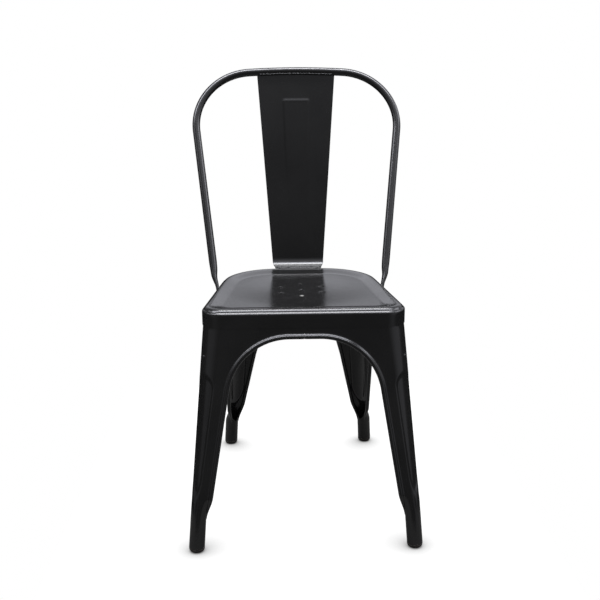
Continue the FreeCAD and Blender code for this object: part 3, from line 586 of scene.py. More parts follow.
def hem_rod(hems, leg, panel, low, angle):
    """Adds the rolled hem along one arch, which thins out down the ankle."""
    samples, point_of, normal_of, across_of = panel
    path, normals = [], []
    for a, z, _, _ in samples:
        normal = normal_of(across_of(a), z)
        path.append(point_of(across_of(a), z) - normal * SHEET / 2.0)
        normals.append(normal)
    radii = [BEAD_RADIUS * 0.93] + [BEAD_RADIUS] * (len(samples) - 1)
    start = path[-1]
    slope = (start - path[-2]) / (start[2] - path[-2][2])
    outward = level_point((0.0, 0.0), 1.0, angle, 0.0)
    for t in steps(0.0, 1.0, HEM_END_ROWS)[1:]:
        path.append(ankle_point(start, low - outward * SHEET / 2.0, slope, leg.foot_slope, t))
        normals.append(unit(normal * (1.0 - t) + outward * t))
        radii.append(blend(BEAD_RADIUS, HEM_END_RADIUS, t ** 1.3))
    tube(hems, path, radii, normals, sides=HEM_SIDES, domed=True)


def leg_pieces(label, back):
    """Sheet and hems of a right-hand leg and of the leg that mirrors it."""
    leg = Leg(back)
    corner_rows = [corner_row(leg, z) for z in steps(LEG_TOP_Z, ARCH_END_Z, ZONE_ROWS)]
    top = corner_rows[0]

    def face_edge(i):
        if i < TOP_STEPS:
            return np.array([blend(SEAM_GAP, top[0][0], i / TOP_STEPS), LEG_TOP_Z])
        return corner_rows[i - TOP_STEPS][0][[0, 2]]

    def side_across(a):
        return SIDE_SEAM_Y + leg.sign * a / SIDE_SCALE

    def side_edge(i):
        if i < TOP_STEPS:
            y = blend(side_across(SEAM_GAP), top[-1][1], i / TOP_STEPS)
            return np.array([y, LEG_TOP_Z])
        return corner_rows[i - TOP_STEPS][-1][[1, 2]]

    face_rise = 1.0 / math.hypot(1.0, leg.face_slope)
    face = (arch_samples(leg.face_arch, face_rise), leg.face_point, leg.face_normal, lambda a: a)
    side = (arch_samples(leg.side_arch, SIDE_RISE), leg.side_point, leg.side_normal,
            side_across)
    face_rows = panel_rows(face_edge, *face)
    side_rows = [row[::-1] for row in panel_rows(side_edge, *side)]
    sheet = Surface()
    flip = not back
    for rows in (face_rows, corner_rows, side_rows):
        sheet.grid(rows, flip=flip)
    high, above = (face_rows[k] + corner_rows[k][1:-1] + side_rows[k] for k in (-1, -2))
    counts = (len(face_rows[-1]) - 1, CORNER_COLUMNS, len(side_rows[-1]) - 1)
    low, ring_angles = ankle_and_foot(sheet, leg, high, above, counts, flip)
    hems = Surface()
    for panel, column in ((face, 0), (side, -1)):
        hem_rod(hems, leg, panel, low[column], ring_angles[column])
    for side_name, mirror in (("right", False), ("left", True)):
        node = "%s_%s_leg" % (label, side_name)
        piece(node + "_sheet", sheet, [node], sheet=SHEET, mirror=mirror, crease=40.0)
        piece(node + "_hems", hems, [node], mirror=mirror, crease=50.0)
    return leg


LEGS = {"front": leg_pieces("front", False), "rear": leg_pieces("rear", True)}


# Rubber feet


# Radius and height of the points of its outline
FOOT_PROFILE = (
    (8.2, 0.0), (9.6, 0.15), (11.2, 0.8), (12.6, 1.9), (13.6, 3.3), (14.2, 4.8),
    (14.45, 6.2), (14.5, 7.6), (14.5, 8.4), (14.35, 8.75), (13.9, 8.95), (12.6, 9.0),
)
for label, leg in LEGS.items():
    cap = Surface()
    turned(cap, FOOT_PROFILE, (*leg.foot, 0.0))
    for side, mirror in (("right", False), ("left", True)):
        node = "%s_%s_foot" % (label, side)
        piece(node + "_cap", cap, [node], "foot_rubber", mirror=mirror)


# Seat pan


DISH_CORNER = 18.0
# Heights of the skirt's rows above its lower edge
SKIRT_ROWS = (0.0, 0.6, 2.5, 9.0, 16.0, 21.0)
# Radius of each round of the rolled rim, and the direction it faces in degrees at both ends
RIM_ARCS = ((5.0, 180.0, 118.0), (4.0, 118.0, 150.0), (9.0, 150.0, 90.0))
RIM_ROWS = 8
DISH_EDGE = 12.5
DISH_RUN = 24.0
DISH_ROWS = 18
DISH_FLOOR_Z = SEAT_HEIGHT - DISH_DEPTH
FLOOR_INSET = 38.0
HOLLOW_DEPTH = 3.0
HOLLOW_REACH = 150.0
REAR_SPREAD = 1.4
# Radius of a drain hole's pressed edge, and how far it lies below the floor of the dish
HOLE_EDGE = ((4.2, 0.4), (4.6, 0.15), (5.1, 0.03), (6.4, 0.0))
HOLE_SIDES = 36
# Points inside the floor of the dish: pitch, rows and columns to each side, and room at the
# rim and at the holes
FILL_PITCH = 7.0
FILL_REACH = 26
FILL_RIM_ROOM = 4.5
FILL_HOLE_ROOM = 2.5


def outline_ring(inset):
    """Seat outline moved inward by inset, as points round it seen from above."""
    tilt = math.atan(SEAT_TAPER)
    side_x = SEAT_SIDE_X - inset * SIDE_SCALE
    corners = []
    front_radius = max(SEAT_FRONT_RADIUS - inset, DISH_CORNER)
    for face_y, radius, inward in ((SEAT_FRONT_Y + inset, front_radius, 1.0),
                                   (SEAT_REAR_Y - inset, SEAT_REAR_RADIUS - inset, -1.0)):
        cy = face_y + inward * radius
        corners.append(((side_x - SEAT_TAPER * cy - radius * SIDE_SCALE, cy), radius))
    front, rear = corners
    (front_x, front_y), (rear_x, rear_y) = front[0], rear[0]
    start, stop = around(*front, tilt), around(*rear, tilt)
    half = [(x, front_y - front_radius) for x in steps(0.0, front_x, 24)[:-1]]
    half += [around(*front, angle) for angle in steps(-math.pi / 2.0, tilt, 18)[:-1]]
    half += zip(steps(start[0], stop[0], 24)[:-1], steps(start[1], stop[1], 24)[:-1])
    half += [around(*rear, angle) for angle in steps(tilt, math.pi / 2.0, 32)[:-1]]
    half += [(x, rear_y + rear[1]) for x in steps(rear_x, 0.0, 10)]
    return half + [(-x, y) for x, y in half[-2:0:-1]]


def rim_ring(inset):
    """Outline at one inset of the rim's section, which is drawn out wider at the rear."""
    ring = []
    wide = inset * REAR_SPREAD
    for (x, y), (u, v) in zip(outline_ring(inset), outline_ring(wide)):
        share = smoothstep(20.0, 125.0, y)
        ring.append((blend(x, u, share), blend(y, v, share)))
    return ring


def hollow_drop(x, y):
    """How far the middle of the dish is hollowed at one place."""
    reach = math.hypot(x, y - SEAT_MIDDLE_Y) / HOLLOW_REACH
    return HOLLOW_DEPTH * (1.0 - reach * reach) ** 2 if reach < 1.0 else 0.0


def inside(point, ring):
    """Whether a point lies inside a closed ring of points, all seen from above."""
    within = False
    x, y = point
    for (ax, ay), (bx, by) in zip(ring, ring[1:] + ring[:1]):
        if (ay > y) != (by > y) and x < ax + (y - ay) * (bx - ax) / (by - ay):
            within = not within
    return within


def loop_edges(start, count):
    """Edges of a closed ring of points, by the number of its first one."""
    return [(start + k, start + (k + 1) % count) for k in range(count)]


def rim_stations():
    """Section from the skirt's lower edge to the floor of the dish, as inset and height."""
    stations = [(0.0, SKIRT_Z + height) for height in SKIRT_ROWS]
    arcs = [(radius, math.radians(first), math.radians(last))
            for radius, first, last in RIM_ARCS]
    inset = 0.0
    z = SEAT_HEIGHT - sum(radius * abs(math.sin(last) - math.sin(first))
                          for radius, first, last in arcs)
    for radius, first, last in arcs:
        angles = steps(first, last, RIM_ROWS)
        for start, stop in zip(angles, angles[1:]):
            inset += radius * abs(math.cos(stop) - math.cos(start))
            z += radius * abs(math.sin(stop) - math.sin(start))
            stations.append((inset, z))
    for t in steps(0.0, 1.0, DISH_ROWS):
        stations.append((DISH_EDGE + DISH_RUN * t,
                         SEAT_HEIGHT - DISH_DEPTH * smoothstep(0.0, 1.0, t)))
    return stations + [(FLOOR_INSET, DISH_FLOOR_Z)]


def seat_piece():
    """Pressed seat: skirt, rolled rim, dished floor and pressed drain holes."""
    pan = Surface()
    pan.grid([[(x, y, z - (hollow_drop(x, y) if inset > DISH_EDGE else 0.0))
               for x, y in rim_ring(inset)] for inset, z in rim_stations()], closed=True)
    rim = rim_ring(FLOOR_INSET)
    flat = list(rim)
    edges = loop_edges(0, len(rim))
    holes = [(0.0, SEAT_MIDDLE_Y)]
    holes += [around(holes[0], DRAIN_RING_RADIUS, t + math.pi / 6.0) for t in turns(6)]
    for hole in holes:
        rings = []
        for radius, press in HOLE_EDGE:
            ring = [around(hole, radius, t) for t in turns(HOLE_SIDES)]
            rings.append([(x, y, DISH_FLOOR_Z - hollow_drop(x, y) - press) for x, y in ring])
        pan.grid(rings, closed=True, flip=True)
        edges += loop_edges(len(flat), HOLE_SIDES)
        flat += ring

    def free(x, y, room, border):
        gap = min(math.hypot(x - hx, y - hy) for hx, hy in holes) - HOLE_EDGE[-1][0]
        return gap > room and inside((x, y), border)

    border = rim_ring(FLOOR_INSET + FILL_RIM_ROOM)
    for j in range(-FILL_REACH, FILL_REACH + 1):
        for i in range(-FILL_REACH, FILL_REACH + 1):
            x = (i + 0.5 * (j % 2)) * FILL_PITCH
            y = SEAT_MIDDLE_Y + j * FILL_PITCH * 0.866
            if free(x, y, FILL_HOLE_ROOM, border):
                flat.append((x, y))
    found = geometry.delaunay_2d_cdt([Vector(p) for p in flat], edges, [], 0, 0.00001)
    corners, _, triangles = found[:3]
    base = pan.take((p.x, p.y, DISH_FLOOR_Z - hollow_drop(p.x, p.y)) for p in corners)
    for face in triangles:
        middle = sum((corners[v] for v in face), Vector((0.0, 0.0))) / 3.0
        if free(middle.x, middle.y, -0.1, rim):
            pan.faces.append(tuple(base + v for v in face))
    piece("seat_pan_pressing", pan, ["seat_pan"], sheet=SHEET, bevel=0.35, crease=50.0)


seat_piece()


# Back splat


SPLAT_SHEET = 1.5
SPLAT_TOP_HALF = 83.0
SPLAT_FOOT_HALF = 53.5
SPLAT_FOOT_ROUND = 12.0
SPLAT_BEND_RADIUS = 22.0
SPLAT_FLANGE = 4.0
SPLAT_BEND_Y = SEAT_REAR_Y - SEAT_EDGE_RADIUS - SPLAT_FLANGE + 2.0
HOOP_RADIUS = 8.0
HOOP_TOP_Y = 240.0
SPLAT_TOP_Z = TOTAL_HEIGHT - HOOP_RADIUS
PANEL_TOP_Z = 795.0
PANEL_FOOT_Z = 560.0
PANEL_TOP_HALF = 29.0
PANEL_FOOT_HALF = 21.0
PANEL_RISE = 1.1
PANEL_LIP = 0.25
PANEL_CORNER = 5.0
PANEL_WALL = 3.6
SPLAT_COLUMNS = 84
SPLAT_ROWS = 190
SPLAT_BEND_ROWS = 18


def splat_lean():
    """Lean of the splat from upright, so that its back meets the tube's axis."""
    lean = 0.2
    for _ in range(20):
        start_y = SPLAT_BEND_Y + SPLAT_BEND_RADIUS * math.cos(lean)
        start_z = SEAT_HEIGHT + SPLAT_BEND_RADIUS * (1.0 - math.sin(lean))
        lean = math.atan2(HOOP_TOP_Y - start_y, SPLAT_TOP_Z - start_z)
    return lean


def panel_rise(x, z):
    """How far the pressed panel stands forward at one place of the sheet."""
    if z < PANEL_FOOT_Z:
        return 0.0
    rise = (z - PANEL_FOOT_Z) / (PANEL_TOP_Z - PANEL_FOOT_Z)
    half = blend(PANEL_FOOT_HALF, PANEL_TOP_HALF, rise)
    dx = half - abs(x)
    dz = PANEL_TOP_Z - z
    if dx < PANEL_CORNER and dz < PANEL_CORNER:
        edge = PANEL_CORNER - math.hypot(PANEL_CORNER - dx, PANEL_CORNER - dz)
    else:
        edge = min(dx, dz)
    lip = PANEL_LIP * math.exp(-((edge - PANEL_WALL * 0.8) / 2.2) ** 2)
    height = PANEL_RISE * smoothstep(0.0, PANEL_WALL, edge) + lip
    return height * smoothstep(0.0, 1.0, min(rise, 1.0)) ** 0.6


def splat_piece():
    """Splat's front: flange on the seat's rim, bend, and the leaning sheet with its panel."""
    lean = splat_lean()
    centre = (SPLAT_BEND_Y, SEAT_HEIGHT + SPLAT_BEND_RADIUS)
    # Y and Z of the section's points, and the sheet's direction to the front there
    side = [(y, SEAT_HEIGHT + SPLAT_SHEET, 0.0, 1.0)
            for y in steps(SPLAT_BEND_Y - SPLAT_FLANGE, SPLAT_BEND_Y, 4)[:-1]]
    for angle in steps(-math.pi / 2.0, -lean, SPLAT_BEND_ROWS):
        side.append((*around(centre, SPLAT_BEND_RADIUS - SPLAT_SHEET, angle),
                     -math.cos(angle), -math.sin(angle)))
    y, z, *forward = side[-1]
    for part in steps(0.0, (SPLAT_TOP_Z - z) / math.cos(lean), SPLAT_ROWS)[1:]:
        side.append((y + part * math.sin(lean), z + part * math.cos(lean), *forward))
    rows = []
    foot_z = SEAT_HEIGHT - 1.0
    for y, z, ny, nz in side:
        widen = (z - foot_z) / (SPLAT_TOP_Z + 1.0 - foot_z)
        half = blend(SPLAT_FOOT_HALF, SPLAT_TOP_HALF, widen)
        under = foot_z + SPLAT_FOOT_ROUND - z
        if under > 0.0:
            half -= SPLAT_FOOT_ROUND - math.sqrt(SPLAT_FOOT_ROUND ** 2 - under ** 2)
        row = []
        for x in steps(-half, half, SPLAT_COLUMNS):
            rise = panel_rise(x, z)
            row.append((x, y + ny * rise, z + nz * rise))
        rows.append(row)
    sheet = Surface()
    sheet.grid(rows)
    piece("back_splat_sheet", sheet, ["back_splat"], sheet=SPLAT_SHEET, bevel=0.5, crease=50.0)


splat_piece()


# Back hoop


HOOP_FOOT_Y = 20.0
HOOP_FOOT_Z = 425.0
HOOP_BOW_RADIUS = 1600.0
HOOP_BOW_HALF = 100.0
HOOP_CORNER_RADIUS = 118.0
HOOP_SIDE_ANGLE = math.radians(6.9)
HOOP_TIP = -9.0
HOOP_RUN = TOTAL_HEIGHT - HOOP_RADIUS - HOOP_FOOT_Z
HOOP_UP = np.array(Vector((0.0, HOOP_TOP_Y - HOOP_FOOT_Y, HOOP_RUN)).normalized())
HOOP_OUT = np.array([0.0, HOOP_UP[2], -HOOP_UP[1]])
HOOP_TOP = HOOP_RUN / HOOP_UP[2]
HOOP_BOW_ANGLE = math.asin(HOOP_BOW_HALF / HOOP_BOW_RADIUS)
# Distance up the hoop, half thickness, half width, and gap between its flat and the skirt
HOOP_STATIONS = ((-9.0, 2.7, 11.2, 0.3), (4.0, 2.8, 11.2, 0.6), (20.0, 4.2, 10.4, 3.6),
                 (38.0, 6.7, 9.0, 9.0), (56.0, 7.9, 8.15, 15.0), (70.0, 8.0, 8.0, 20.0))
HOOP_SIDES = 40
BOW_CENTRE = (0.0, HOOP_TOP - HOOP_BOW_RADIUS)
# Rounded rim of the tube's ends: distance beyond the end, and size of the ring as a share
HOOP_END_RINGS = ((1.0, 0.93), (1.8, 0.75))


def hoop_point(x, up):
    return np.array([x, HOOP_FOOT_Y, HOOP_FOOT_Z]) + HOOP_UP * up


def station_value(up, column):
    """Value between the stations, evened out over a short length of tube."""
    ups, values = ([station[k] for station in HOOP_STATIONS] for k in (0, column))
    spread = [up + offset for offset in (-8.0, -5.0, -2.0, 2.0, 5.0, 8.0)]
    return float(np.mean(np.interp(spread, ups, values)))


def hoop_path():
    """Centres of the tube from one end to the other, with half its thickness and width."""
    reach = HOOP_BOW_RADIUS - HOOP_CORNER_RADIUS
    corner = around(BOW_CENTRE, reach, math.pi / 2.0 - HOOP_BOW_ANGLE)
    end_x, end_up = around(corner, HOOP_CORNER_RADIUS, -HOOP_SIDE_ANGLE)

    def side_x(up):
        return end_x - (end_up - up) * math.tan(HOOP_SIDE_ANGLE)

    path = []
    for up in steps(HOOP_TIP, HOOP_TIP + 82.5, 33):
        thin = station_value(up, 1)
        centre = hoop_point(0.0, up)
        laid = SEAT_SIDE_X - SEAT_TAPER * centre[1] + thin * SIDE_SCALE + station_value(up, 3)
        follow = smoothstep(14.0, 46.0, up)
        centre[0] = blend(laid, side_x(up), follow)
        path.append((centre, thin, station_value(up, 2)))
    centres = [hoop_point(side_x(up), up) for up in steps(up, end_up, 40)[1:]]
    bow_start = math.pi / 2.0 - HOOP_BOW_ANGLE
    for middle, radius, first, last, count in (
            (corner, HOOP_CORNER_RADIUS, -HOOP_SIDE_ANGLE, bow_start, 32),
            (BOW_CENTRE, HOOP_BOW_RADIUS, bow_start, math.pi / 2.0, 12)):
        centres += [hoop_point(*around(middle, radius, angle))
                    for angle in steps(first, last, count)[1:]]
    path += [(centre, HOOP_RADIUS, HOOP_RADIUS) for centre in centres]
    return path + [(c * np.array([-1.0, 1.0, 1.0]), thin, broad)
                   for c, thin, broad in path[-2::-1]]


def hoop_piece():
    """Bent tube, pressed flat where its two ends lie against the skirt."""
    path = hoop_path()
    rows = []
    for i, (centre, thin, broad) in enumerate(path):
        ahead = unit(path[min(i + 1, len(path) - 1)][0] - path[max(i - 1, 0)][0])
        across = unit(np.cross(HOOP_OUT, ahead))
        power = 1.0 - 0.3 * smoothstep(0.0, 1.0, (HOOP_RADIUS - thin) / 5.4)
        row = []
        for angle in turns(HOOP_SIDES):
            c, s = math.cos(angle), math.sin(angle)
            u = thin * math.copysign(abs(c) ** power, c)
            v = broad * math.copysign(abs(s) ** power, s)
            row.append(centre + across * u + HOOP_OUT * v)
        rows.append(row)
    caps = []
    for end, before in ((0, 1), (-1, -2)):
        centre = path[end][0]
        ahead = unit(centre - path[before][0])
        caps.append([[centre + (p - centre) * share + ahead * lift for p in rows[end]]
                     for lift, share in HOOP_END_RINGS])
    skin = Surface()
    skin.rod(caps[0][::-1] + rows + caps[1])
    piece("back_hoop_tube", skin, ["back_hoop"], crease=60.0)


hoop_piece()


# Brace under the seat


BRACE_Z = 352.0
STRAP_WIDTH = 22.0
STRAP_THICKNESS = 3.0
STRAP_GAP = 4.2
STRAP_ROUND = 0.9
# The strap is a little smaller at its very end than this far from it
STRAP_END = 0.6
STRAP_END_SHARE = 0.97
BUMPER_DISTANCE = 120.0


def corner_inside(back, z):
    """Middle of the inner side of a right-hand leg's corner."""
    centre, radius, angles = LEGS["rear" if back else "front"].corner(z)
    return level_point(centre, radius - SHEET, (angles[1] + angles[2]) / 2.0, z)


def bar_section(half_wide, half_thick, round_radius):
    """Section of a flat bar with rounded edges."""
    section = []
    for cu, cv, first in ((1, 1, 0.0), (-1, 1, 90.0), (-1, -1, 180.0), (1, -1, 270.0)):
        centre = (cu * (half_wide - round_radius), cv * (half_thick - round_radius))
        section += [around(centre, round_radius, math.radians(angle))
                    for angle in steps(first, first + 90.0, 5)]
    return section


def strap_middle(start, axis):
    """Place on a strap's line at the chair's middle, X = 0."""
    return start - axis * (start[0] / axis[0])


STRAP_SECTION = bar_section(STRAP_WIDTH / 2.0, STRAP_THICKNESS / 2.0, STRAP_ROUND)
STRAPS = []
for name, first, second, z in (("brace_strap_lower", False, True, BRACE_Z),
                               ("brace_strap_upper", True, False, BRACE_Z + STRAP_THICKNESS)):
    start = corner_inside(first, z)
    end = corner_inside(second, z) * np.array([-1.0, 1.0, 1.0])
    axis = unit(end - start)
    start = start + axis * STRAP_GAP
    end = end - axis * STRAP_GAP
    STRAPS.append((start, end, axis))
    across = np.cross(UP, axis)
    length = np.linalg.norm(end - start)
    runs = [(0.0, STRAP_END_SHARE), (STRAP_END, 1.0)]
    runs += [(run, 1.0) for run in steps(0.0, length, 40)[1:-1]]
    runs += [(length - STRAP_END, 1.0), (length, STRAP_END_SHARE)]
    middle = start + UP * STRAP_THICKNESS / 2.0
    bar = Surface()
    bar.rod([[middle + axis * run + (across * u + UP * v) * share for u, v in STRAP_SECTION]
             for run, share in runs])
    piece(name + "_bar", bar, [name], crease=50.0)

# Radius and height of the points of one head
RIVET_HEAD = ((7.0, 0.0), (7.1, 0.5), (6.8, 1.2), (6.1, 1.9), (5.0, 2.5), (3.6, 2.85), (1.8, 3.0))
RIVET_SHANK = 4.0
rivet = Surface()
top = 2.0 * STRAP_THICKNESS
profile = [(r, -h) for r, h in RIVET_HEAD[::-1]] + [(RIVET_SHANK, 0.0), (RIVET_SHANK, top)]
profile += [(r, top + h) for r, h in RIVET_HEAD]
turned(rivet, profile, strap_middle(STRAPS[0][0], STRAPS[0][2]))
piece("brace_rivet_domed", rivet, ["brace_rivet"], crease=50.0)

BUMPER_PROFILE = (
    (5.6, -6.0), (7.0, -5.95), (8.1, -5.6), (8.75, -4.9), (9.0, -4.0), (9.0, -1.0), (8.8, -0.3),
    (8.3, 0.0), (3.0, 0.0), (3.0, 3.0), (4.9, 3.05), (5.0, 3.3), (4.4, 3.9), (3.3, 4.35),
    (2.2, 4.5),
)
bumpers = Surface()
for start, end, axis in STRAPS:
    for distance in (-BUMPER_DISTANCE, BUMPER_DISTANCE):
        turned(bumpers, BUMPER_PROFILE, strap_middle(start, axis) + axis * distance)
piece("stacking_bumpers_rubber", bumpers, ["stacking_bumpers"], "bumper_rubber", crease=50.0)


# Welds


WELD_RADIUS = 2.0
WELD_PITCH = 2.6
WELD_STEP = 0.5
WELD_SIDES = 14
# Direction from which a bead's points are counted round, aslant to every bead
WELD_NORMAL = (0.31, 0.22, 0.93)


def weld_bead(surface, points, radius):
    """Weld bead along points: a rod whose skin shows the ripples of the weld."""
    points = [np.asarray(p, float) for p in points]
    lengths = [0.0]
    for a, b in zip(points, points[1:]):
        lengths.append(lengths[-1] + np.linalg.norm(b - a))
    total = lengths[-1]
    path, radii = [], []
    for run in steps(0.0, total, max(int(total / WELD_STEP), 12)):
        path.append([np.interp(run, lengths, [p[k] for p in points]) for k in range(3)])
        ripple = abs(math.sin(math.pi * run / WELD_PITCH))
        end = min(run, total - run) / radius
        round_end = math.sqrt(max(1.0 - (1.0 - min(end, 1.0)) ** 2, 0.12))
        radii.append(radius * (0.86 + 0.16 * ripple) * round_end)
    tube(surface, path, radii, [WELD_NORMAL] * len(path), sides=WELD_SIDES)


def weld_piece(node, runs, radius):
    """One piece from beads of one radius, each given by its points."""
    name = node + ("_beads" if len(runs) > 1 else "_bead")
    beads = Surface()
    for points in runs:
        weld_bead(beads, points, radius)
    piece(name, beads, [node], crease=70.0)


runs = []
for start, end, axis in STRAPS:
    wide = np.cross(UP, axis) * (STRAP_WIDTH / 2.0 - WELD_RADIUS)
    for tip, outward in ((start, -axis), (end, axis)):
        spot = tip + outward * WELD_RADIUS + UP * STRAP_THICKNESS / 2.0
        runs.append([spot - wide, spot + wide])
weld_piece("brace_end_welds", runs, 1.6 * WELD_RADIUS)

seam_ends = (CROWN_Z + 2.0 * BEAD_RADIUS + WELD_RADIUS, LEG_TOP_Z - WELD_RADIUS)
inset = SHEET + 0.5 * WELD_RADIUS
runs = [[(0.0, leg.face_y(z) - leg.sign * inset, z) for z in seam_ends]
        for leg in LEGS.values()]
for side in (1.0, -1.0):
    side_ends = [LEGS["front"].side_point(SIDE_SEAM_Y, z) for z in seam_ends]
    runs.append([((x - inset * SIDE_SCALE) * side, y, z) for x, y, z in side_ends])
weld_piece("apron_seam_welds", runs, WELD_RADIUS)

runs = []
for edge in (-1.0, 1.0):
    ends = [hoop_point(0.0, up) + HOOP_OUT * (10.2 * edge)
            for up in (HOOP_TIP + WELD_RADIUS, 8.0)]
    for side in (1.0, -1.0):
        runs.append([((SEAT_SIDE_X - SEAT_TAPER * y + 0.6) * side, y, z) for _, y, z in ends])
weld_piece("hoop_end_welds", runs, WELD_RADIUS)

half = SPLAT_FOOT_HALF - SPLAT_FOOT_ROUND - WELD_RADIUS
y = SPLAT_BEND_Y - SPLAT_FLANGE
runs = [[(-half, y, SEAT_HEIGHT), (half, y, SEAT_HEIGHT)]]
weld_piece("splat_foot_weld", runs, 0.8 * WELD_RADIUS)

radius = HOOP_BOW_RADIUS - HOOP_RADIUS + 0.4
half = math.asin((SPLAT_TOP_HALF - 6.0) / radius)
runs = [[hoop_point(*around(BOW_CENTRE, radius, angle)) - HOOP_OUT * 3.4
         for angle in steps(math.pi / 2.0 + half, math.pi / 2.0 - half, 24)]]
weld_piece("splat_top_weld", runs, 0.7 * WELD_RADIUS)


# Studio


# Power on the ambient occlusion that paints contact shadow into the floor's glow
PAINTED_SHADOW_POWER = 1.7
FLOOR_GLOSS_SHARE = 0.06
FLOOR_FRONT = -0.44
FLOOR_BACK = 0.62
FLOOR_SIDE = 0.46


def ray_kinds(tree):
    """Light path's outputs, and one for camera rays and rays through something clear."""
    rays = tree.nodes.new("ShaderNodeLightPath").outputs
    return rays, math_node(tree, "MAXIMUM", rays["Is Camera Ray"], rays["Is Transmission Ray"])


def plane_piece(name, corners, material):
    """Flat stage piece from its corners in metres."""
    mesh = bpy.data.meshes.new(name)
    mesh.from_pydata(corners, [], [tuple(range(len(corners)))])
    piece = placed(name, mesh)
    mesh.materials.append(material)


def floor_material():
    """White floor that runs into the white background: its glow carries soft contact shadows
    painted from ambient occlusion near the chair, its faint diffuse part the real shadow.
    """
    material, tree, shader = new_material("pale_floor")
    shader.inputs["Base Color"].default_value = (0.16, 0.16, 0.16, 1.0)
    shader.inputs["Roughness"].default_value = 0.9
    shader.inputs["Specular IOR Level"].default_value = 0.0
    shader.inputs["Emission Color"].default_value = WHITE
    rays, seen = ray_kinds(tree)
    seen = math_node(tree, "MAXIMUM", seen, times(tree, rays["Is Glossy Ray"], FLOOR_GLOSS_SHARE))
    # Painted shadow: the floor's glow is darkened by ambient occlusion within seven centimetres
    # of the chair, so soft contact shadows are painted round the feet
    shadow_occlusion = add(tree, "ShaderNodeAmbientOcclusion", samples=24, Distance=0.07)
    painted_contact_shadow = math_node(tree, "POWER", shadow_occlusion.outputs["AO"], PAINTED_SHADOW_POWER)
    tree.links.new(times(tree, seen, painted_contact_shadow), shader.inputs["Emission Strength"])
    return material


plane_piece("floor", [
    (-FLOOR_SIDE, FLOOR_FRONT, 0.0),
    (FLOOR_SIDE, FLOOR_FRONT, 0.0),
    (FLOOR_SIDE, FLOOR_BACK, 0.0),
    (-FLOOR_SIDE, FLOOR_BACK, 0.0),
], floor_material())


# Soft lamp over the chair: its place and what it looks at, in metres
LAMP_PLACE = Vector((0.0, 0.12, 2.4))
LAMP_TARGET = Vector((0.0, 0.0, 0.4))
lamp = bpy.data.lights.new("lamp_top", "AREA")
lamp.shape = "RECTANGLE"
lamp.size = 1.5
lamp.size_y = 0.28
lamp.energy = 26.0
holder = placed("lamp_top", lamp)
holder.location = LAMP_PLACE
holder.rotation_euler = (LAMP_TARGET - LAMP_PLACE).to_track_quat("-Z", "Y").to_euler()


def band(tree, value, low, high, soft):
    """One between two limits, falling off softly outside them."""
    rise = map_range(tree, value, low - soft, low + soft, 0.0, 1.0)
    fall = map_range(tree, value, high - soft, high + soft, 1.0, 0.0)
    return times(tree, rise, fall)


# Softboxes of the studio as it shows in gloss: turn round the X axis from the back horizon over
# the top in degrees, then reach to the right as a share, then strength
SOFTBOXES = (
    (92.0, 111.0, -0.75, 0.55, 13.0),
    (60.0, 120.0, 0.72, 0.86, 5.0),
    (60.0, 125.0, -0.9, -0.78, 2.5),
)
# Level of the studio in gloss by the same turn
GLOSS_LEVELS = (
    (-12.0, 0.02), (8.5, 0.04), (12.3, 0.36), (15.5, 0.85), (20.0, 1.3), (52.0, 1.0),
    (75.0, 1.4), (125.0, 1.4), (150.0, 0.5), (157.0, 0.3), (169.5, 0.06), (180.0, 0.05),
    (200.0, 0.04), (260.0, 0.04),
)
# Share of those levels left at the left and right, and the level of the sides further forward
LEFT_SHARE = 0.15
RIGHT_SHARE = 0.7
LEFT_FRONT = 0.2
RIGHT_FRONT = 0.4
# Angle at which the levels' ramp starts, and the angle it spans
GLOSS_START = -60.0
GLOSS_SPAN = 320.0


def mix_shaders(tree, factor, first, second):
    node = tree.nodes.new("ShaderNodeMixShader")
    for socket, value in zip(node.inputs, (factor, first, second)):
        tree.links.new(value, socket)
    return node.outputs[0]


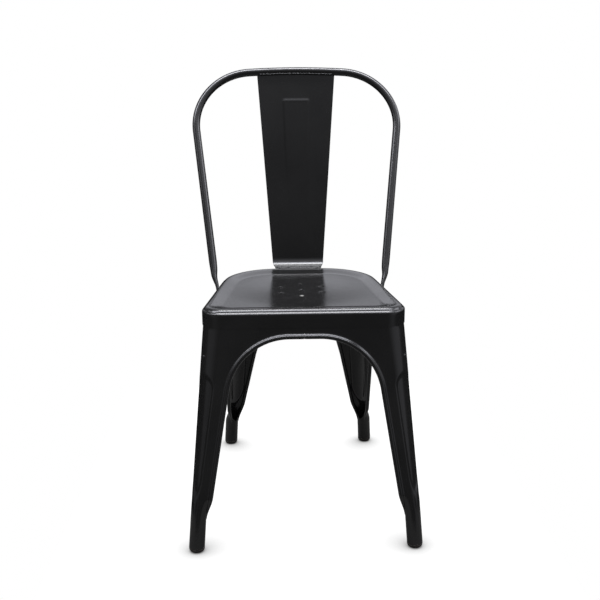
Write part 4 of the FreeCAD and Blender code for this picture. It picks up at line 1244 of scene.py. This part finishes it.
def studio_world():
    """White background behind the chair, dark studio in front of it, and an even pale light."""
    world = bpy.data.worlds.new("studio")
    bpy.context.scene.world = world
    world.use_nodes = True
    tree = world.node_tree
    tree.nodes.clear()
    place = tree.nodes.new("ShaderNodeTexCoord").outputs["Generated"]
    split = add(tree, "ShaderNodeSeparateXYZ", Vector=place).outputs
    degrees = times(tree, math_node(tree, "ARCTAN2", split["Z"], split["Y"]), 180.0 / math.pi)
    # Angles from -180 to -60 lie under the front horizon and are counted on from 180
    wrap = math_node(tree, "LESS_THAN", degrees, GLOSS_START)
    degrees = math_node(tree, "ADD", degrees, times(tree, wrap, 360.0))
    ramp = tree.nodes.new("ShaderNodeValToRGB")
    stops = ramp.color_ramp.elements
    for index, (angle, level) in enumerate(GLOSS_LEVELS):
        spot = (angle - GLOSS_START) / GLOSS_SPAN
        stop = stops[index] if index < 2 else stops.new(spot)
        stop.position = spot
        stop.color = (level, level, level, 1.0)
    tree.links.new(map_range(tree, degrees, GLOSS_START, GLOSS_START + GLOSS_SPAN, 0.0, 1.0),
                   ramp.inputs[0])
    level = ramp.outputs["Color"]
    for facing, share, front in ((-1.0, LEFT_SHARE, LEFT_FRONT), (1.0, RIGHT_SHARE, RIGHT_FRONT)):
        side = times(tree, split["X"], facing)
        level = times(tree, level, map_range(tree, side, 0.15, 0.6, 1.0, share))
        glow = times(tree, band(tree, degrees, 130.0, 205.0, 8.0),
                     map_range(tree, side, 0.4, 0.8, 0.0, front))
        level = math_node(tree, "ADD", level, glow)
    for low, high, left, right, strength in SOFTBOXES:
        box = times(tree, band(tree, split["X"], left, right, 0.06),
                    band(tree, degrees, low, high, 2.0))
        level = math_node(tree, "ADD", level, times(tree, box, strength))
    gloss = add(tree, "ShaderNodeBackground", Color=(0.97, 0.98, 1.06, 1.0), Strength=level)
    soft = add(tree, "ShaderNodeBackground", Color=WHITE, Strength=0.9)
    white = add(tree, "ShaderNodeBackground", Color=WHITE, Strength=1.0)
    rays, seen = ray_kinds(tree)
    unseen = mix_shaders(tree, rays["Is Glossy Ray"], soft.outputs[0], gloss.outputs[0])
    tree.links.new(mix_shaders(tree, seen, unseen, white.outputs[0]),
                   tree.nodes.new("ShaderNodeOutputWorld").inputs["Surface"])


studio_world()


# Camera of the photograph: place in millimetres, direction in radians, lens and shift
CAMERA_PLACE = (-57.91, -1683.2, 850.14)
CAMERA_YAW = -0.0336
CAMERA_PITCH = 0.25796
CAMERA_ROLL = -0.005


def photo_camera():
    """Camera at the photograph's place, with its lens and tilt."""
    data = bpy.data.cameras.new("camera")
    data.sensor_width = 36.0
    data.lens = 52.34
    data.shift_y = 0.0035
    data.clip_end = 50.0
    camera = placed("camera", data)
    right = Vector((math.cos(CAMERA_YAW), math.sin(CAMERA_YAW), 0.0))
    level = Vector((-math.sin(CAMERA_YAW), math.cos(CAMERA_YAW), 0.0)) * math.cos(CAMERA_PITCH)
    ahead = level - Vector((0.0, 0.0, math.sin(CAMERA_PITCH)))
    up = right.cross(ahead)
    turned_right = right * math.cos(CAMERA_ROLL) + up * math.sin(CAMERA_ROLL)
    turned_up = up * math.cos(CAMERA_ROLL) - right * math.sin(CAMERA_ROLL)
    turn = Matrix((turned_right, turned_up, -ahead)).transposed()
    camera.matrix_world = Matrix.Translation(Vector(CAMERA_PLACE) * MM) @ turn.to_4x4()
    bpy.context.scene.camera = camera


photo_camera()
bpy.context.scene.view_settings.view_transform = "Standard"
